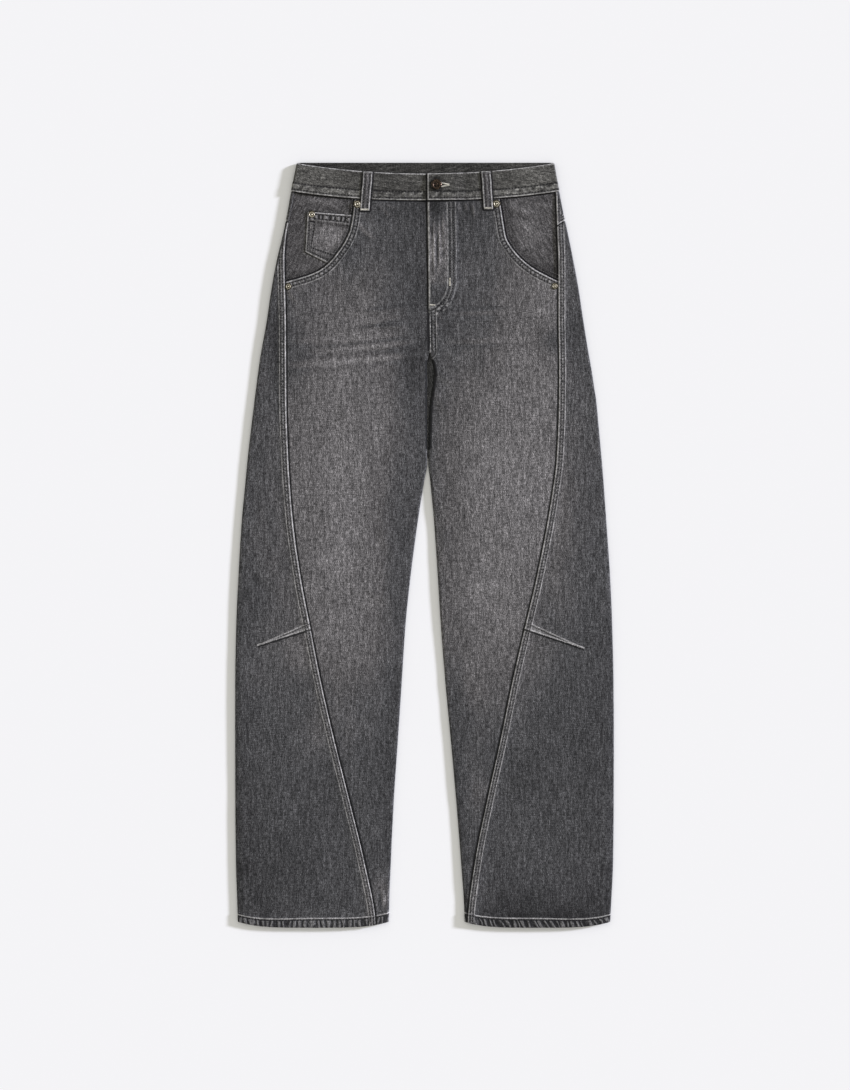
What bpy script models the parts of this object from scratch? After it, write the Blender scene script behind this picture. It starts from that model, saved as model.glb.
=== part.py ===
"""Barrel leg trousers in washed denim, laid flat and face up.

The frame is metres with +Z up. The waist points to +Y, the wearer's right leg lies at -X, and the origin
is on the surface, under the middle of the garment. All sizes below are in millimetres. DOWN runs from the
top edge of the back waistband to the hems, OUT runs from the middle line to either side, and UP is the
height above the surface.
"""

import math

import bpy
import numpy as np

MM = 0.001
LENGTH = 1060.0
SEAM_GAP = 0.3
WALL = 1.1
BAND_WALL = 2.0
LOOP_WALL = 1.2

RIGHT = -1
LEFT = 1
SIDE_NAMES = {RIGHT: "right", LEFT: "left"}

# Where each leg's folds and seams lie on the front, by the distance down. All columns but the first are OUT.
SIDE_COLUMNS = ("down", "outer", "seam", "inner")
SIDE_ROWS = {
    RIGHT: (
        (0, 176.9, 172.0, -3.7),
        (38, 184.6, 180.0, -3.7),
        (70, 190.3, 185.7, -3.8),
        (100, 196.3, 191.7, -4.0),
        (135, 204.7, 194.2, -4.2),
        (170, 211.3, 193.5, -4.3),
        (220, 218.8, 192.2, -4.2),
        (276, 228.6, 191.9, -3.6),
        (330, 235.7, 191.6, -3.7),
        (416, 245.8, 188.6, -3.9),
        (440, 248.0, 187.2, 0.2),
        (495, 253.2, 182.7, 9.0),
        (578, 258.2, 171.1, 19.9),
        (641, 261.0, 159.0, 26.4),
        (717, 262.4, 144.2, 31.4),
        (800, 262.5, 125.2, 36.9),
        (884, 262.3, 104.2, 42.6),
        (967, 261.5, 84.0, 46.6),
        (1045, 259.2, 69.0, 49.2),
        (1060, 258.8, 67.8, 49.3),
    ),
    LEFT: (
        (0, 179.7, 175.1, 4.0),
        (38, 186.6, 182.0, 4.1),
        (70, 192.7, 183.3, 4.4),
        (100, 199.1, 184.2, 4.8),
        (135, 206.1, 185.4, 5.2),
        (170, 212.7, 185.6, 5.6),
        (220, 220.3, 185.6, 6.0),
        (262, 227.0, 186.2, 6.8),
        (290, 232.0, 186.5, 12.6),
        (308, 234.6, 186.4, 11.2),
        (330, 238.1, 186.2, 7.7),
        (357, 240.6, 185.6, 6.0),
        (416, 246.0, 182.8, 5.2),
        (440, 248.0, 179.8, 7.7),
        (495, 251.9, 171.1, 13.0),
        (578, 257.5, 154.7, 18.7),
        (641, 260.2, 139.9, 22.6),
        (717, 262.0, 122.4, 28.6),
        (800, 262.5, 105.5, 36.4),
        (884, 262.3, 87.0, 43.9),
        (967, 261.5, 70.4, 50.4),
        (1045, 258.2, 60.8, 55.2),
        (1060, 257.4, 60.0, 55.5),
    ),
}

# The curved edge of each front pocket opening.
OPENING_COLUMNS = ("down", "edge")
OPENING_ROWS = {
    RIGHT: (
        (38, 96.2),
        (53, 96.8),
        (72, 98.9),
        (92, 102.5),
        (109, 109.6),
        (126, 121.0),
        (139, 131.8),
        (149, 144.5),
        (156, 159.5),
        (161, 175.5),
        (166, 193.6),
    ),
    LEFT: (
        (38, 103.4),
        (53, 104.0),
        (62, 105.5),
        (81, 108.5),
        (104, 112.7),
        (119, 121.2),
        (135, 135.3),
        (148, 152.3),
        (158, 170.8),
        (165, 185.3),
    ),
}
OPENING_END = {RIGHT: 166.0, LEFT: 165.0}
FACING_DROP = 1.6
FACING_UNDERLAP = 4.0
BAND_GAP = 0.5

# Heights of the top layer's outer face: at the outer fold, and how much more it rises inside.
PUFF_COLUMNS = ("down", "edge", "rise")
PUFF_ROWS = (
    (0, 5.7, 0.5),
    (60, 5.6, 0.6),
    (170, 5.4, 0.8),
    (330, 4.4, 1.4),
    (600, 4.2, 1.6),
    (900, 4.1, 1.5),
    (1060, 4.2, 1.2),
)

MIDDLE_OUT = 4.5
WAISTBAND_FLOOR = 1.5
WAISTBAND_TOP = 6.8
WAISTBAND_HEIGHT = 37.5
WAISTBAND_FRONT_DIP = 15.8
WAISTBAND_DIP_RISE = 14.0
WAISTBAND_FRONT_BOTTOM = 52.6
WAISTBAND_BOTTOM_RISE = 13.3
WAISTBAND_BOTTOM_OUT = 186.0
WAISTBAND_BOTTOM_CURVE = 2.3
WAISTBAND_UNDERLAP = 34.0
BAND_FOLD = 180.0
# Where the waistband's sections lie, out from the middle: on the underlap and right front, on the back, and
# on the left front and overlap.
UNDERLAP_STATIONS = (WAISTBAND_UNDERLAP, 20.0, 4.0, -20.0, -50.0, -80.0, -110.0, -135.0, -157.0)
BACK_STATIONS = (-150.0, -118.0, -80.0, -40.0, 0.0, 40.0, 80.0, 118.0, 150.0)
OVERLAP_STATIONS = (157.0, 135.0, 112.0, 88.0, 70.0, 60.0, 54.0, 46.0, 38.0, 30.0, 17.0)
BAND_WIDTH_STEPS = 5
BAND_FOLD_STEPS = 9
OVERLAP_LIFT = 2.35
OVERLAP_RAMP = 24.0
SETTLE_START = 58.0
SETTLE_END = 76.0

FLY_LIFT = 1.2
FLY_OUT = 44.0
FLY_TURN = 160.0
FLY_END = 208.0
CROTCH = 276.0
CURL_REACH = 8.0
LEGS_START = 230.0
LEGS_FULL = 330.0
SWELL_POWER = 0.7
WAVE_HEIGHT = 0.25
WAVE_LENGTH = 41.0
WAVE_SLANT = 2.2
LEGS_PART = 410.0
YOKE_GAP = 0.7
YOKE_OUTSEAM = {RIGHT: 82.0, LEFT: 87.0}
YOKE_FOLD = 80.0
YOKE_MIDDLE = 112.0

# The knee dart: where it points on the outer side, how far it climbs to the outseam, and its small relief.
DART_DOWN = 669.0
DART_RISE = 29.0
DART_REACH = 0.72
DART_OFFSETS = np.array([-9.0, -3.5, 0.0, 3.0, 8.0])
DART_LIFTS = np.array([0.0, 0.9, 0.1, 0.6, 0.0])

SEAM_WELT = 8.0
SEAM_LIFT = 0.8
HEM_WELT = 13.0
HEM_LIFT = 0.7
HEM_BOW = 8.0

PATCH_OUT = (38.0, 166.0)
PATCH_DOWN = (150.0, 294.0)
PATCH_POINT = 18.0
PATCH_LIFT = 1.5
PATCH_RAMP = 9.0

LOOP_WIDTH = 12.5
FRONT_LOOPS = {RIGHT: (-78.2, -82.6), LEFT: (85.0, 88.7)}
FRONT_LOOP_END = {RIGHT: 67.0, LEFT: 65.0}
BACK_LOOPS = {"back_right": -118.0, "back_middle": 0.0, "back_left": 118.0}
BACK_LOOP_END = 54.0

BUTTON_PLACE = (16.6, 31.2)
BUTTON_RADIUS = 7.5
RIVET_RADIUS = 4.1
SMALL_RIVET_RADIUS = 3.6

# The sections that fronts and backs share, so that their outseams run side by side.
FRONT_SHARES = np.array([0, 0.04, 0.09, 0.2, 0.34, 0.48, 0.62, 0.76, 0.87, 0.95, 1.0])
CURL_STEPS = 4
LEG_ROWS = np.array(
    [172, 188, 206, 224, 242, 258, 272, 284, 295, 304.5, 330, 356, 386, 416, 440, 470, 510, 560, 610, 645, 710]
    + [755, 800, 870, 940, 1000, 1030, LENGTH - 14.5, LENGTH - HEM_WELT, LENGTH]
)
BACK_ROWS = np.array([YOKE_FOLD, 96, 118, 130, 140.5, 149])
# How far along the pocket opening the sections of a front lie, closer together where its edge turns outwards.
OPENING_STEPS = np.array([0, 0.16, 0.32, 0.46, 0.58, 0.69, 0.78, 0.85, 0.9, 0.94, 0.975, 1.0])

DENIM = (0.105, 0.106, 0.110, 1.0)
DENIM_SIDE = (0.070, 0.071, 0.075, 1.0)
DENIM_POCKET = (0.120, 0.121, 0.124, 1.0)
BRONZE = (0.115, 0.080, 0.060, 1.0)
BRASS = (0.420, 0.340, 0.230, 1.0)


class Sections:
    """A short table read as smooth curves: a cubic span between rows, which never overshoots a row's value."""

    def __init__(self, columns, rows):
        values = np.array(rows, float)
        self.down = values[:, 0]
        self.values = {name: values[:, i] for i, name in enumerate(columns)}

    def at(self, column, down):
        knots, values = self.down, self.values[column]
        chords = np.diff(values) / np.diff(knots)
        before, after = chords[:-1], chords[1:]
        same_way = before * after > 0
        mean = 2 * before * after / np.where(same_way, before + after, 1.0)
        slopes = np.concatenate([chords[:1], np.where(same_way, mean, 0.0), chords[-1:]])
        down = np.clip(down, knots[0], knots[-1])
        span = np.clip(np.searchsorted(knots, down, side="right") - 1, 0, len(knots) - 2)
        width = knots[span + 1] - knots[span]
        t = (down - knots[span]) / width
        start = (1 + 2 * t) * (1 - t) ** 2 * values[span] + t * (1 - t) ** 2 * width * slopes[span]
        end = t * t * (3 - 2 * t) * values[span + 1] + t * t * (t - 1) * width * slopes[span + 1]
        return start + end


SIDES = {side: Sections(SIDE_COLUMNS, rows) for side, rows in SIDE_ROWS.items()}
OPENINGS = {side: Sections(OPENING_COLUMNS, rows) for side, rows in OPENING_ROWS.items()}
PUFF = Sections(PUFF_COLUMNS, PUFF_ROWS)


def ease(low, high, value):
    """0 up to low, 1 from high, and a smooth step between."""
    t = np.clip((value - low) / (high - low), 0.0, 1.0)
    return t * t * (3 - 2 * t)


def band_top(out):
    """How far down the front waistband's upper edge lies: a shallow dip towards the middle."""
    return WAISTBAND_FRONT_DIP - WAISTBAND_DIP_RISE * (np.abs(out) / BAND_FOLD) ** 2


def band_bottom(out):
    """How far down the front waistband's lower edge lies."""
    rise = (np.abs(out) / WAISTBAND_BOTTOM_OUT) ** WAISTBAND_BOTTOM_CURVE
    return WAISTBAND_FRONT_BOTTOM - WAISTBAND_BOTTOM_RISE * rise


def floor_height(out, down):
    """Height of the back's outer face: on the surface, but lifted by the waistband and the patch pockets."""
    near_band = WAISTBAND_FLOOR * (1 - ease(SETTLE_START, SETTLE_END, down))
    across = ease(PATCH_OUT[0] - PATCH_RAMP, PATCH_OUT[0] - 1, out)
    across = across * (1 - ease(PATCH_OUT[1] + 1, PATCH_OUT[1] + PATCH_RAMP, out))
    along = ease(PATCH_DOWN[0] - PATCH_RAMP, PATCH_DOWN[0] - 1, down)
    along = along * (1 - ease(PATCH_DOWN[1] + 1, PATCH_DOWN[1] + PATCH_RAMP, down))
    return np.maximum(near_band, PATCH_LIFT * across * along)


def top_height(side, out, down):
    """Height of the front's outer face: a soft swell between the outer fold and the inner edge."""
    outer = SIDES[side].at("outer", down)
    inner = SIDES[side].at("inner", down)
    share = np.clip((outer - out) / (outer - inner), 0.0, 1.0)
    legs = ease(LEGS_START, LEGS_FULL, down)
    swell = np.sin(np.pi * share) ** SWELL_POWER * legs + ease(0, 0.3, share) * (1 - legs)
    waves = WAVE_HEIGHT * np.sin(down / WAVE_LENGTH + WAVE_SLANT * share) * np.sin(np.pi * share)
    height = PUFF.at("edge", down) + PUFF.at("rise", down) * swell + waves
    return height + HEM_LIFT * ease(LENGTH - HEM_WELT - 1.2, LENGTH - HEM_WELT, down)


def fly_lift(side, out, down):
    """The wearer's left front rises over the fly, which has a J shape."""
    if side == RIGHT:
        return np.zeros_like(out)
    past_turn = np.clip(down - FLY_TURN, 0, None) / (FLY_END - FLY_TURN)
    reach = FLY_OUT * np.sqrt(np.clip(1 - past_turn**2, 0, 1))
    return FLY_LIFT * (1 - ease(reach - 1, reach + 5, out)) * (1 - ease(FLY_END - 8, FLY_END + 4, down))


def hem_bow(share, down):
    """The hem line bows down in the middle of the leg."""
    return HEM_BOW * (2 * share - 1) ** 4 * ease(LENGTH - 110, LENGTH, down)


def add_mesh(name, points, faces, colour, metallic=0.0, roughness=0.9):
    """One named mesh object with its own material, from points in millimetres."""
    mesh = bpy.data.meshes.new(name)
    mesh.from_pydata([tuple(p) for p in np.asarray(points, float) * MM], [], faces)
    mesh.validate()
    mesh.update()
    part = bpy.data.objects.new(name, mesh)
    parts_collection.objects.link(part)
    material = bpy.data.materials.new(name)
    material.use_nodes = True
    shader = material.node_tree.nodes["Principled BSDF"]
    shader.inputs["Base Color"].default_value = colour
    shader.inputs["Roughness"].default_value = roughness
    shader.inputs["Metallic"].default_value = metallic
    mesh.materials.append(material)
    return part


def cloth(name, grid, wall, colour, turned=False):
    """A cloth piece: an open grid of its outer face, rows by columns, thickened inwards by its wall."""
    rows, columns, _ = grid.shape
    faces = []
    for row in range(rows - 1):
        for column in range(columns - 1):
            first = row * columns + column
            quad = (first, first + 1, first + columns + 1, first + columns)
            faces.append(quad[::-1] if turned else quad)
    part = add_mesh(name, grid.reshape(-1, 3), faces, colour)
    part.data.shade_smooth()
    solidify = part.modifiers.new("wall", "SOLIDIFY")
    solidify.thickness = wall * MM
    solidify.offset = -1
    solidify.use_even_offset = True
    return part


def place(side, out, down, up):
    """World points in millimetres from distances out, down and up."""
    out, down, up = np.broadcast_arrays(out, down, up)
    return np.stack([side * out, LENGTH / 2 - down, up], axis=-1)


def front_panel(side):
    """A front leg piece, from the pocket opening and the outseam to the middle front and the inseam."""
    sections, opening = SIDES[side], OPENINGS[side]
    start = band_bottom(opening.at("edge", WAISTBAND_FRONT_BOTTOM)) + SEAM_GAP
    opening_rows = start + (OPENING_END[side] - start) * OPENING_STEPS
    rows = np.concatenate([opening_rows, LEG_ROWS])
    grid = []
    for down in rows:
        in_opening = down < OPENING_END[side] + 0.01
        outer = opening.at("edge", down) if in_opening else sections.at("seam", down) - SEAM_GAP
        inner = sections.at("inner", down)
        if side == RIGHT and down < CROTCH:
            inner = -SIDES[LEFT].at("inner", down) + SEAM_GAP
        drop = ease(CROTCH - 16, CROTCH + 12, down) * math.pi / 2
        crown = PUFF.at("edge", down) - WALL - SEAM_GAP
        out = outer + (inner + crown * math.sin(drop) - outer) * FRONT_SHARES
        angles = np.linspace(0, drop, CURL_STEPS + 1)[1:]
        curl_out = inner + crown * (math.sin(drop) - np.sin(angles))
        level = np.concatenate([out, curl_out])
        if drop == 0:
            level[-CURL_STEPS - 1 :] = inner + np.linspace(CURL_REACH, 0, CURL_STEPS + 1)
            level[:-CURL_STEPS] = outer + (inner + CURL_REACH - outer) * FRONT_SHARES
        share = (level - inner) / (sections.at("outer", down) - inner)
        top_gap = (band_bottom(level) - band_bottom(outer)) * (1 - ease(rows[0], 150, down))
        reach = down + top_gap - hem_bow(share, down)
        up = top_height(side, level, reach) + fly_lift(side, level, reach)
        edge_up = WALL + SEAM_GAP
        up[-CURL_STEPS:] -= (up[-CURL_STEPS:] - edge_up) * (1 - np.cos(angles))
        grid.append(place(side, level, reach, up))
    return cloth(f"front_{SIDE_NAMES[side]}", np.array(grid), WALL, DENIM, turned=side == RIGHT)


def dart_shift(down, along):
    """How far a section bends up towards the outseam, so that the sections at the knee follow the dart."""
    near = ease(DART_DOWN - 88, DART_DOWN - 8, down) * (1 - ease(DART_DOWN + 8, DART_DOWN + 88, down))
    return -DART_RISE * np.clip(1 - along / DART_REACH, 0, 1) * near


def around(side, down, fold_count=5):
    """One section of the back: from the outseam over the outer fold and along the underside.

    Returns the distances out, down and up of its points, and how many lie on the front strip and the fold.
    """
    sections = SIDES[side]
    inner = sections.at("inner", down)
    along = np.array([0, 0.15, 0.86, 1, 0, 0, 0]) * SEAM_WELT
    widest = sections.at("outer", down) - sections.at("seam", down)
    strip_down = down + dart_shift(down, np.array([0, 0.01, 0.05, 0.06, 0.35, 0.7, 1.0]))
    outer, seam = sections.at("outer", strip_down), sections.at("seam", strip_down)
    low = floor_height(outer[-1], down)
    high = top_height(side, outer[-1], down)
    radius = (high - low) / 2
    flat = outer - radius - seam
    welt = np.minimum(SEAM_WELT, 0.6 * flat) / SEAM_WELT
    strip = seam + along * welt + (flat - welt * SEAM_WELT) * np.array([0, 0, 0, 0, 1, 2, 3]) / 3
    strip += welt * SEAM_WELT * np.array([0, 0, 0, 0, 1, 1, 1])
    lift = SEAM_LIFT * min(1.0, widest / SEAM_WELT / 1.5) * np.array([1, 1, 1, 0, 0, 0, 0])
    dart = np.interp(down - DART_DOWN, DART_OFFSETS, DART_LIFTS)
    lift = np.maximum(lift, dart * np.array([1, 1, 1, 1, 0.6, 0.1, 0]))
    strip_up = top_height(side, strip, strip_down) + lift
    outer = outer[-1]
    angles = np.linspace(0, math.pi, fold_count + 1)[1:]
    fold = outer - radius + radius * np.sin(angles)
    fold_up = low + radius + radius * np.cos(angles)
    under_end = side * MIDDLE_OUT + SEAM_GAP / 2 if down < LEGS_PART else inner
    seat = np.array([PATCH_OUT[1] + PATCH_RAMP, PATCH_OUT[1], 145, 102, 59, PATCH_OUT[0], PATCH_OUT[0] - PATCH_RAMP])
    legs = fold[-1] + (under_end - fold[-1]) * np.array([0.13, 0.22, 0.36, 0.5, 0.64, 0.78, 0.9])
    blend = ease(310, 420, down)
    under = np.append(seat * (1 - blend) + legs * blend, under_end)
    under_up = floor_height(under, down)
    out = np.concatenate([strip, fold, under])
    downs = np.concatenate([strip_down, np.full(len(fold) + len(under), down)])
    return out, downs, np.concatenate([strip_up, fold_up, under_up]), len(strip), len(fold)


def back_grid(side, rows, first_line, last_line):
    """Rows of the back between two lines, each a function of the distance out and of being underneath."""
    grid = []
    for down in rows:
        out, downs, up, strips, folds = around(side, down)
        underneath = np.zeros(len(out))
        underneath[strips + folds - 1 :] = 1
        turn = math.pi * np.arange(1, folds + 1) / folds
        underneath[strips : strips + folds] = (1 - np.cos(turn)) / 2
        outer, inner = SIDES[side].at("outer", down), SIDES[side].at("inner", down)
        share = np.clip((outer - out) / (outer - inner), 0, 1)
        start = (first_line(out, underneath) - rows[0]) * (1 - ease(rows[0], rows[0] + 70, down))
        if last_line is not None:
            span = (down - rows[0]) / (rows[-1] - rows[0])
            start = (first_line(out, underneath) - rows[0]) * (1 - span)
            start = start + (last_line(out, underneath) - rows[-1]) * span
        reach = downs + start - hem_bow(share, downs)
        grid.append(place(side, out, reach, up))
    return np.array(grid)


def yoke_line(side, out, underneath):
    """Where the yoke's seam runs: on the front strip, round the fold, and down to the middle of the back."""
    seam = SIDES[side].at("seam", YOKE_FOLD)
    outer = SIDES[side].at("outer", YOKE_FOLD)
    from_seam = np.clip((out - seam) / (outer - seam), 0, 1)
    on_front = YOKE_OUTSEAM[side] + (YOKE_FOLD - YOKE_OUTSEAM[side]) * from_seam
    on_back = YOKE_FOLD + (YOKE_MIDDLE - YOKE_FOLD) * np.clip((outer - out) / (outer - MIDDLE_OUT), 0, 1)
    return on_front * (1 - underneath) + on_back * underneath


def back_panel(side):
    """A back leg piece: it comes round the outer fold to the outseam on the front."""
    grid = back_grid(
        side,
        np.unique(np.concatenate([BACK_ROWS, LEG_ROWS, DART_DOWN + DART_OFFSETS])),
        lambda out, under: yoke_line(side, out, under) + YOKE_GAP / 2,
        None,
    )
    return cloth(f"back_{SIDE_NAMES[side]}", grid, WALL, DENIM_SIDE, turned=side == LEFT)


def yoke(side):
    """The shaped piece between the waistband and the back, round the fold to the outseam."""

    def under_band(out, underneath):
        front = band_bottom(np.minimum(out, BAND_FOLD)) + BAND_GAP
        return front * (1 - underneath) + (WAISTBAND_HEIGHT + BAND_GAP) * underneath

    rows = np.array([WAISTBAND_HEIGHT + BAND_GAP, 46, 54, 60, 68, 75, YOKE_FOLD])
    grid = back_grid(
        side,
        rows,
        under_band,
        lambda out, under: yoke_line(side, out, under) - YOKE_GAP / 2,
    )
    return cloth(f"yoke_{SIDE_NAMES[side]}", grid, WALL, DENIM_SIDE, turned=side == LEFT)


def facing_height(side, out, down):
    return top_height(side, out, down) - FACING_DROP


def pocket_facing(side):
    """The denim that shows inside the front pocket opening, from the outseam to under the opening's edge."""
    sections, opening = SIDES[side], OPENINGS[side]
    start = band_bottom(np.array(150.0)) + BAND_GAP
    rows = start + (OPENING_END[side] - 1 - start) * np.linspace(0, 1, 13)
    shares = np.linspace(0, 1, 9)
    grid = []
    for down in rows:
        outer = sections.at("seam", down) - SEAM_GAP
        inner = opening.at("edge", down) - FACING_UNDERLAP
        out = outer + (inner - outer) * shares
        fade = 1 - ease(start, 120, down)
        reach = down + (band_bottom(out) + BAND_GAP - start) * fade
        grid.append(place(side, out, reach, facing_height(side, out, reach)))
    name = f"pocket_facing_{SIDE_NAMES[side]}"
    return cloth(name, np.array(grid), WALL, DENIM_POCKET, turned=side == RIGHT)


def coin_pocket_point(across, along):
    """A point of the coin pocket: from its left edge at 0 to the opening's edge at 1, and from top to bottom."""
    left_out, left_down = 161.9 + 3.2 * along, 66.2 + 55.9 * along
    right_down = 71.2 + 69.0 * along
    right_out = OPENINGS[RIGHT].at("edge", right_down) + SEAM_GAP + 0.4
    return left_out + (right_out - left_out) * across, left_down + (right_down - left_down) * across


def coin_pocket():
    """The small pocket on the right facing. It stops at the edge of the big pocket's opening."""
    across, along = np.meshgrid(np.linspace(0, 1, 8), np.linspace(0, 1, 8))
    out, down = coin_pocket_point(across, along)
    up = facing_height(RIGHT, out, down) + SEAM_GAP + WALL
    return cloth("coin_pocket", place(RIGHT, out, down, up), WALL, DENIM_POCKET, turned=True)


def waistband():
    """One strip: the underlap, the right front, the back, the left front and the overlap with the buttonhole."""
    radius = (WAISTBAND_TOP - WAISTBAND_FLOOR) / 2
    angles = np.linspace(0, math.pi, BAND_FOLD_STEPS)
    left_end = SIDES[LEFT].at("inner", 20.0)
    stations = [(x, 0.0, RIGHT) for x in UNDERLAP_STATIONS]
    stations += [(-BAND_FOLD, angle, RIGHT) for angle in angles]
    stations += [(x, math.pi, RIGHT if x < 0 else LEFT) for x in BACK_STATIONS]
    stations += [(BAND_FOLD, angle, LEFT) for angle in angles[::-1]]
    lifted_from = len(stations)
    stations += [(x, 0.0, LEFT) for x in (*OVERLAP_STATIONS, left_end)]
    grid = []
    for width in np.linspace(0, 1, BAND_WIDTH_STEPS):
        line = []
        for x, angle, side in stations:
            low = (1 - math.cos(angle)) / 2
            top = band_top(x) * (1 - low)
            bottom = band_bottom(x) * (1 - low) + WAISTBAND_HEIGHT * low
            down = top + (bottom - top) * width
            edge = SIDES[side].at("outer", down) - radius
            out = x * edge / BAND_FOLD + side * radius * math.sin(angle)
            line.append([out, down, WAISTBAND_FLOOR + radius + radius * math.cos(angle)])
        line = np.array(line)
        ramp = 1 - ease(WAISTBAND_UNDERLAP + 2, WAISTBAND_UNDERLAP + 2 + OVERLAP_RAMP, line[lifted_from:, 0])
        line[lifted_from:, 2] += OVERLAP_LIFT * ramp
        grid.append(place(1, line[:, 0], line[:, 1], line[:, 2]))
    return cloth("waistband", np.array(grid), BAND_WALL, DENIM)


def strap(name, middle, downs, ups, turned):
    """A belt loop: a flat strap with the given line of middles, distances down and heights."""
    across = np.linspace(-0.5, 0.5, 3) * LOOP_WIDTH
    grid = [place(1, x + across, down, up) for x, down, up in zip(middle, downs, ups)]
    return cloth(name, np.array(grid), LOOP_WALL, DENIM, turned)


def front_loop(side):
    start, end = FRONT_LOOPS[side]
    middle_top = band_top(start) + 0.5
    downs = np.array([middle_top, 20, 30, 40, 47, 50.5, 54.5, 58, FRONT_LOOP_END[side]])
    middle = start + (end - start) * (downs - downs[0]) / (downs[-1] - downs[0])
    panel = top_height(side, np.abs(middle), downs) + SEAM_GAP
    band = WAISTBAND_TOP + SEAM_GAP
    over_band = 1 - ease(51.5, 57, downs)
    ups = panel + (band - panel) * over_band + LOOP_WALL + 0.15
    return strap(f"belt_loop_front_{SIDE_NAMES[side]}", middle, downs, ups, True)


def back_loop(name, middle):
    downs = np.array([0.6, 18, 36, BACK_LOOP_END])
    return strap(f"belt_loop_{name}", np.full(4, middle), downs, np.zeros(4), False)


def patch_pocket(side):
    """A back pocket with a pointed lower edge. It lies between the back and the surface."""
    across, along = np.meshgrid(np.linspace(0, 1, 5), np.linspace(0, 1, 5))
    narrow = 5.0 * along
    out = PATCH_OUT[0] + narrow + (PATCH_OUT[1] - PATCH_OUT[0] - 2 * narrow) * across
    side_length = PATCH_DOWN[1] - PATCH_DOWN[0] - PATCH_POINT
    down = PATCH_DOWN[0] + (side_length + PATCH_POINT * (1 - np.abs(2 * across - 1))) * along
    grid = place(side, out, down, np.zeros_like(out))
    return cloth(f"back_pocket_{SIDE_NAMES[side]}", grid, LOOP_WALL, DENIM_SIDE, turned=side == RIGHT)


def turned_piece(name, profile, x, down, up, colour, steps):
    """A turned piece: a profile of radius and height, top to bottom, screwed round its upright axis."""
    points = [(radius, 0.0, height) for radius, height in profile]
    edges = [(i, i + 1) for i in range(len(points) - 1)]
    mesh = bpy.data.meshes.new(name)
    mesh.from_pydata([tuple(MM * c for c in point) for point in points], edges, [])
    part = bpy.data.objects.new(name, mesh)
    part.location = (x * MM, (LENGTH / 2 - down) * MM, up * MM)
    parts_collection.objects.link(part)
    screw = part.modifiers.new("turn", "SCREW")
    screw.steps = steps
    screw.render_steps = steps
    screw.use_merge_vertices = True
    screw.merge_threshold = 0.00001
    screw.use_smooth_shade = True
    material = bpy.data.materials.new(name)
    material.use_nodes = True
    shader = material.node_tree.nodes["Principled BSDF"]
    shader.inputs["Base Color"].default_value = colour
    shader.inputs["Metallic"].default_value = 1.0
    shader.inputs["Roughness"].default_value = 0.38
    mesh.materials.append(material)
    return part


def rivet(name, side, out, down, radius, up):
    """A rivet cap: a flat ring with a low round stud in the middle."""
    profile = [
        (0.0, 1.5),
        (radius * 0.30, 1.3),
        (radius * 0.42, 0.8),
        (radius * 0.78, 1.0),
        (radius, 0.5),
        (radius, 0.0),
        (0.0, 0.0),
    ]
    return turned_piece(name, profile, side * out, down, up + SEAM_GAP, BRASS, 16)


def button():
    """The waist button: a shallow dish inside a round rim, on a flat back."""
    profile = [
        (0.0, 2.3),
        (BUTTON_RADIUS * 0.55, 2.2),
        (BUTTON_RADIUS * 0.68, 2.5),
        (BUTTON_RADIUS * 0.88, 2.5),
        (BUTTON_RADIUS, 1.7),
        (BUTTON_RADIUS * 0.97, 0.9),
        (BUTTON_RADIUS * 0.72, 0.5),
        (BUTTON_RADIUS * 0.70, 0.0),
        (0.0, 0.0),
    ]
    up = WAISTBAND_TOP + OVERLAP_LIFT + SEAM_GAP
    return turned_piece("button", profile, BUTTON_PLACE[0], BUTTON_PLACE[1], up, BRONZE, 24)


for leftover in list(bpy.data.objects):
    bpy.data.objects.remove(leftover)
parts_collection = bpy.data.collections.new("barrel_leg_trousers")
bpy.context.scene.collection.children.link(parts_collection)

for this_side in (RIGHT, LEFT):
    front_panel(this_side)
    back_panel(this_side)
    yoke(this_side)
    pocket_facing(this_side)
    patch_pocket(this_side)
    front_loop(this_side)
coin_pocket()
waistband()
for loop_name, loop_middle in BACK_LOOPS.items():
    back_loop(loop_name, loop_middle)
button()

# Each rivet: name, side, distances out and down, radius, and how far it stands above the front's outer face.
RIVETS = (
    ("rivet_right_top", RIGHT, 93.0, 58.0, RIVET_RADIUS, 0.0),
    ("rivet_right_side", RIGHT, 188.5, 172.0, SMALL_RIVET_RADIUS, 0.0),
    ("rivet_left_top", LEFT, 99.6, 57.5, RIVET_RADIUS, 0.0),
    ("rivet_left_side", LEFT, 180.5, 171.5, SMALL_RIVET_RADIUS, 0.0),
    ("rivet_coin_pocket", RIGHT, 156.0, 72.4, RIVET_RADIUS, SEAM_GAP + WALL - FACING_DROP),
)
for rivet_name, rivet_side, rivet_out, rivet_down, rivet_radius, rise in RIVETS:
    ground = float(top_height(rivet_side, np.array(rivet_out), np.array(rivet_down)))
    rivet(rivet_name, rivet_side, rivet_out, rivet_down, rivet_radius, ground + rise + 0.1)
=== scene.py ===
# %% [markdown]
# # Barrel leg trousers in washed grey denim
# The solids of the trousers are already made, in metres, with +Z up. They lie flat and face up on a table.
# This lesson gives them thin cloth, seams, stitches, worn edges and a washed colour. It lights them softly.

import math

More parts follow.
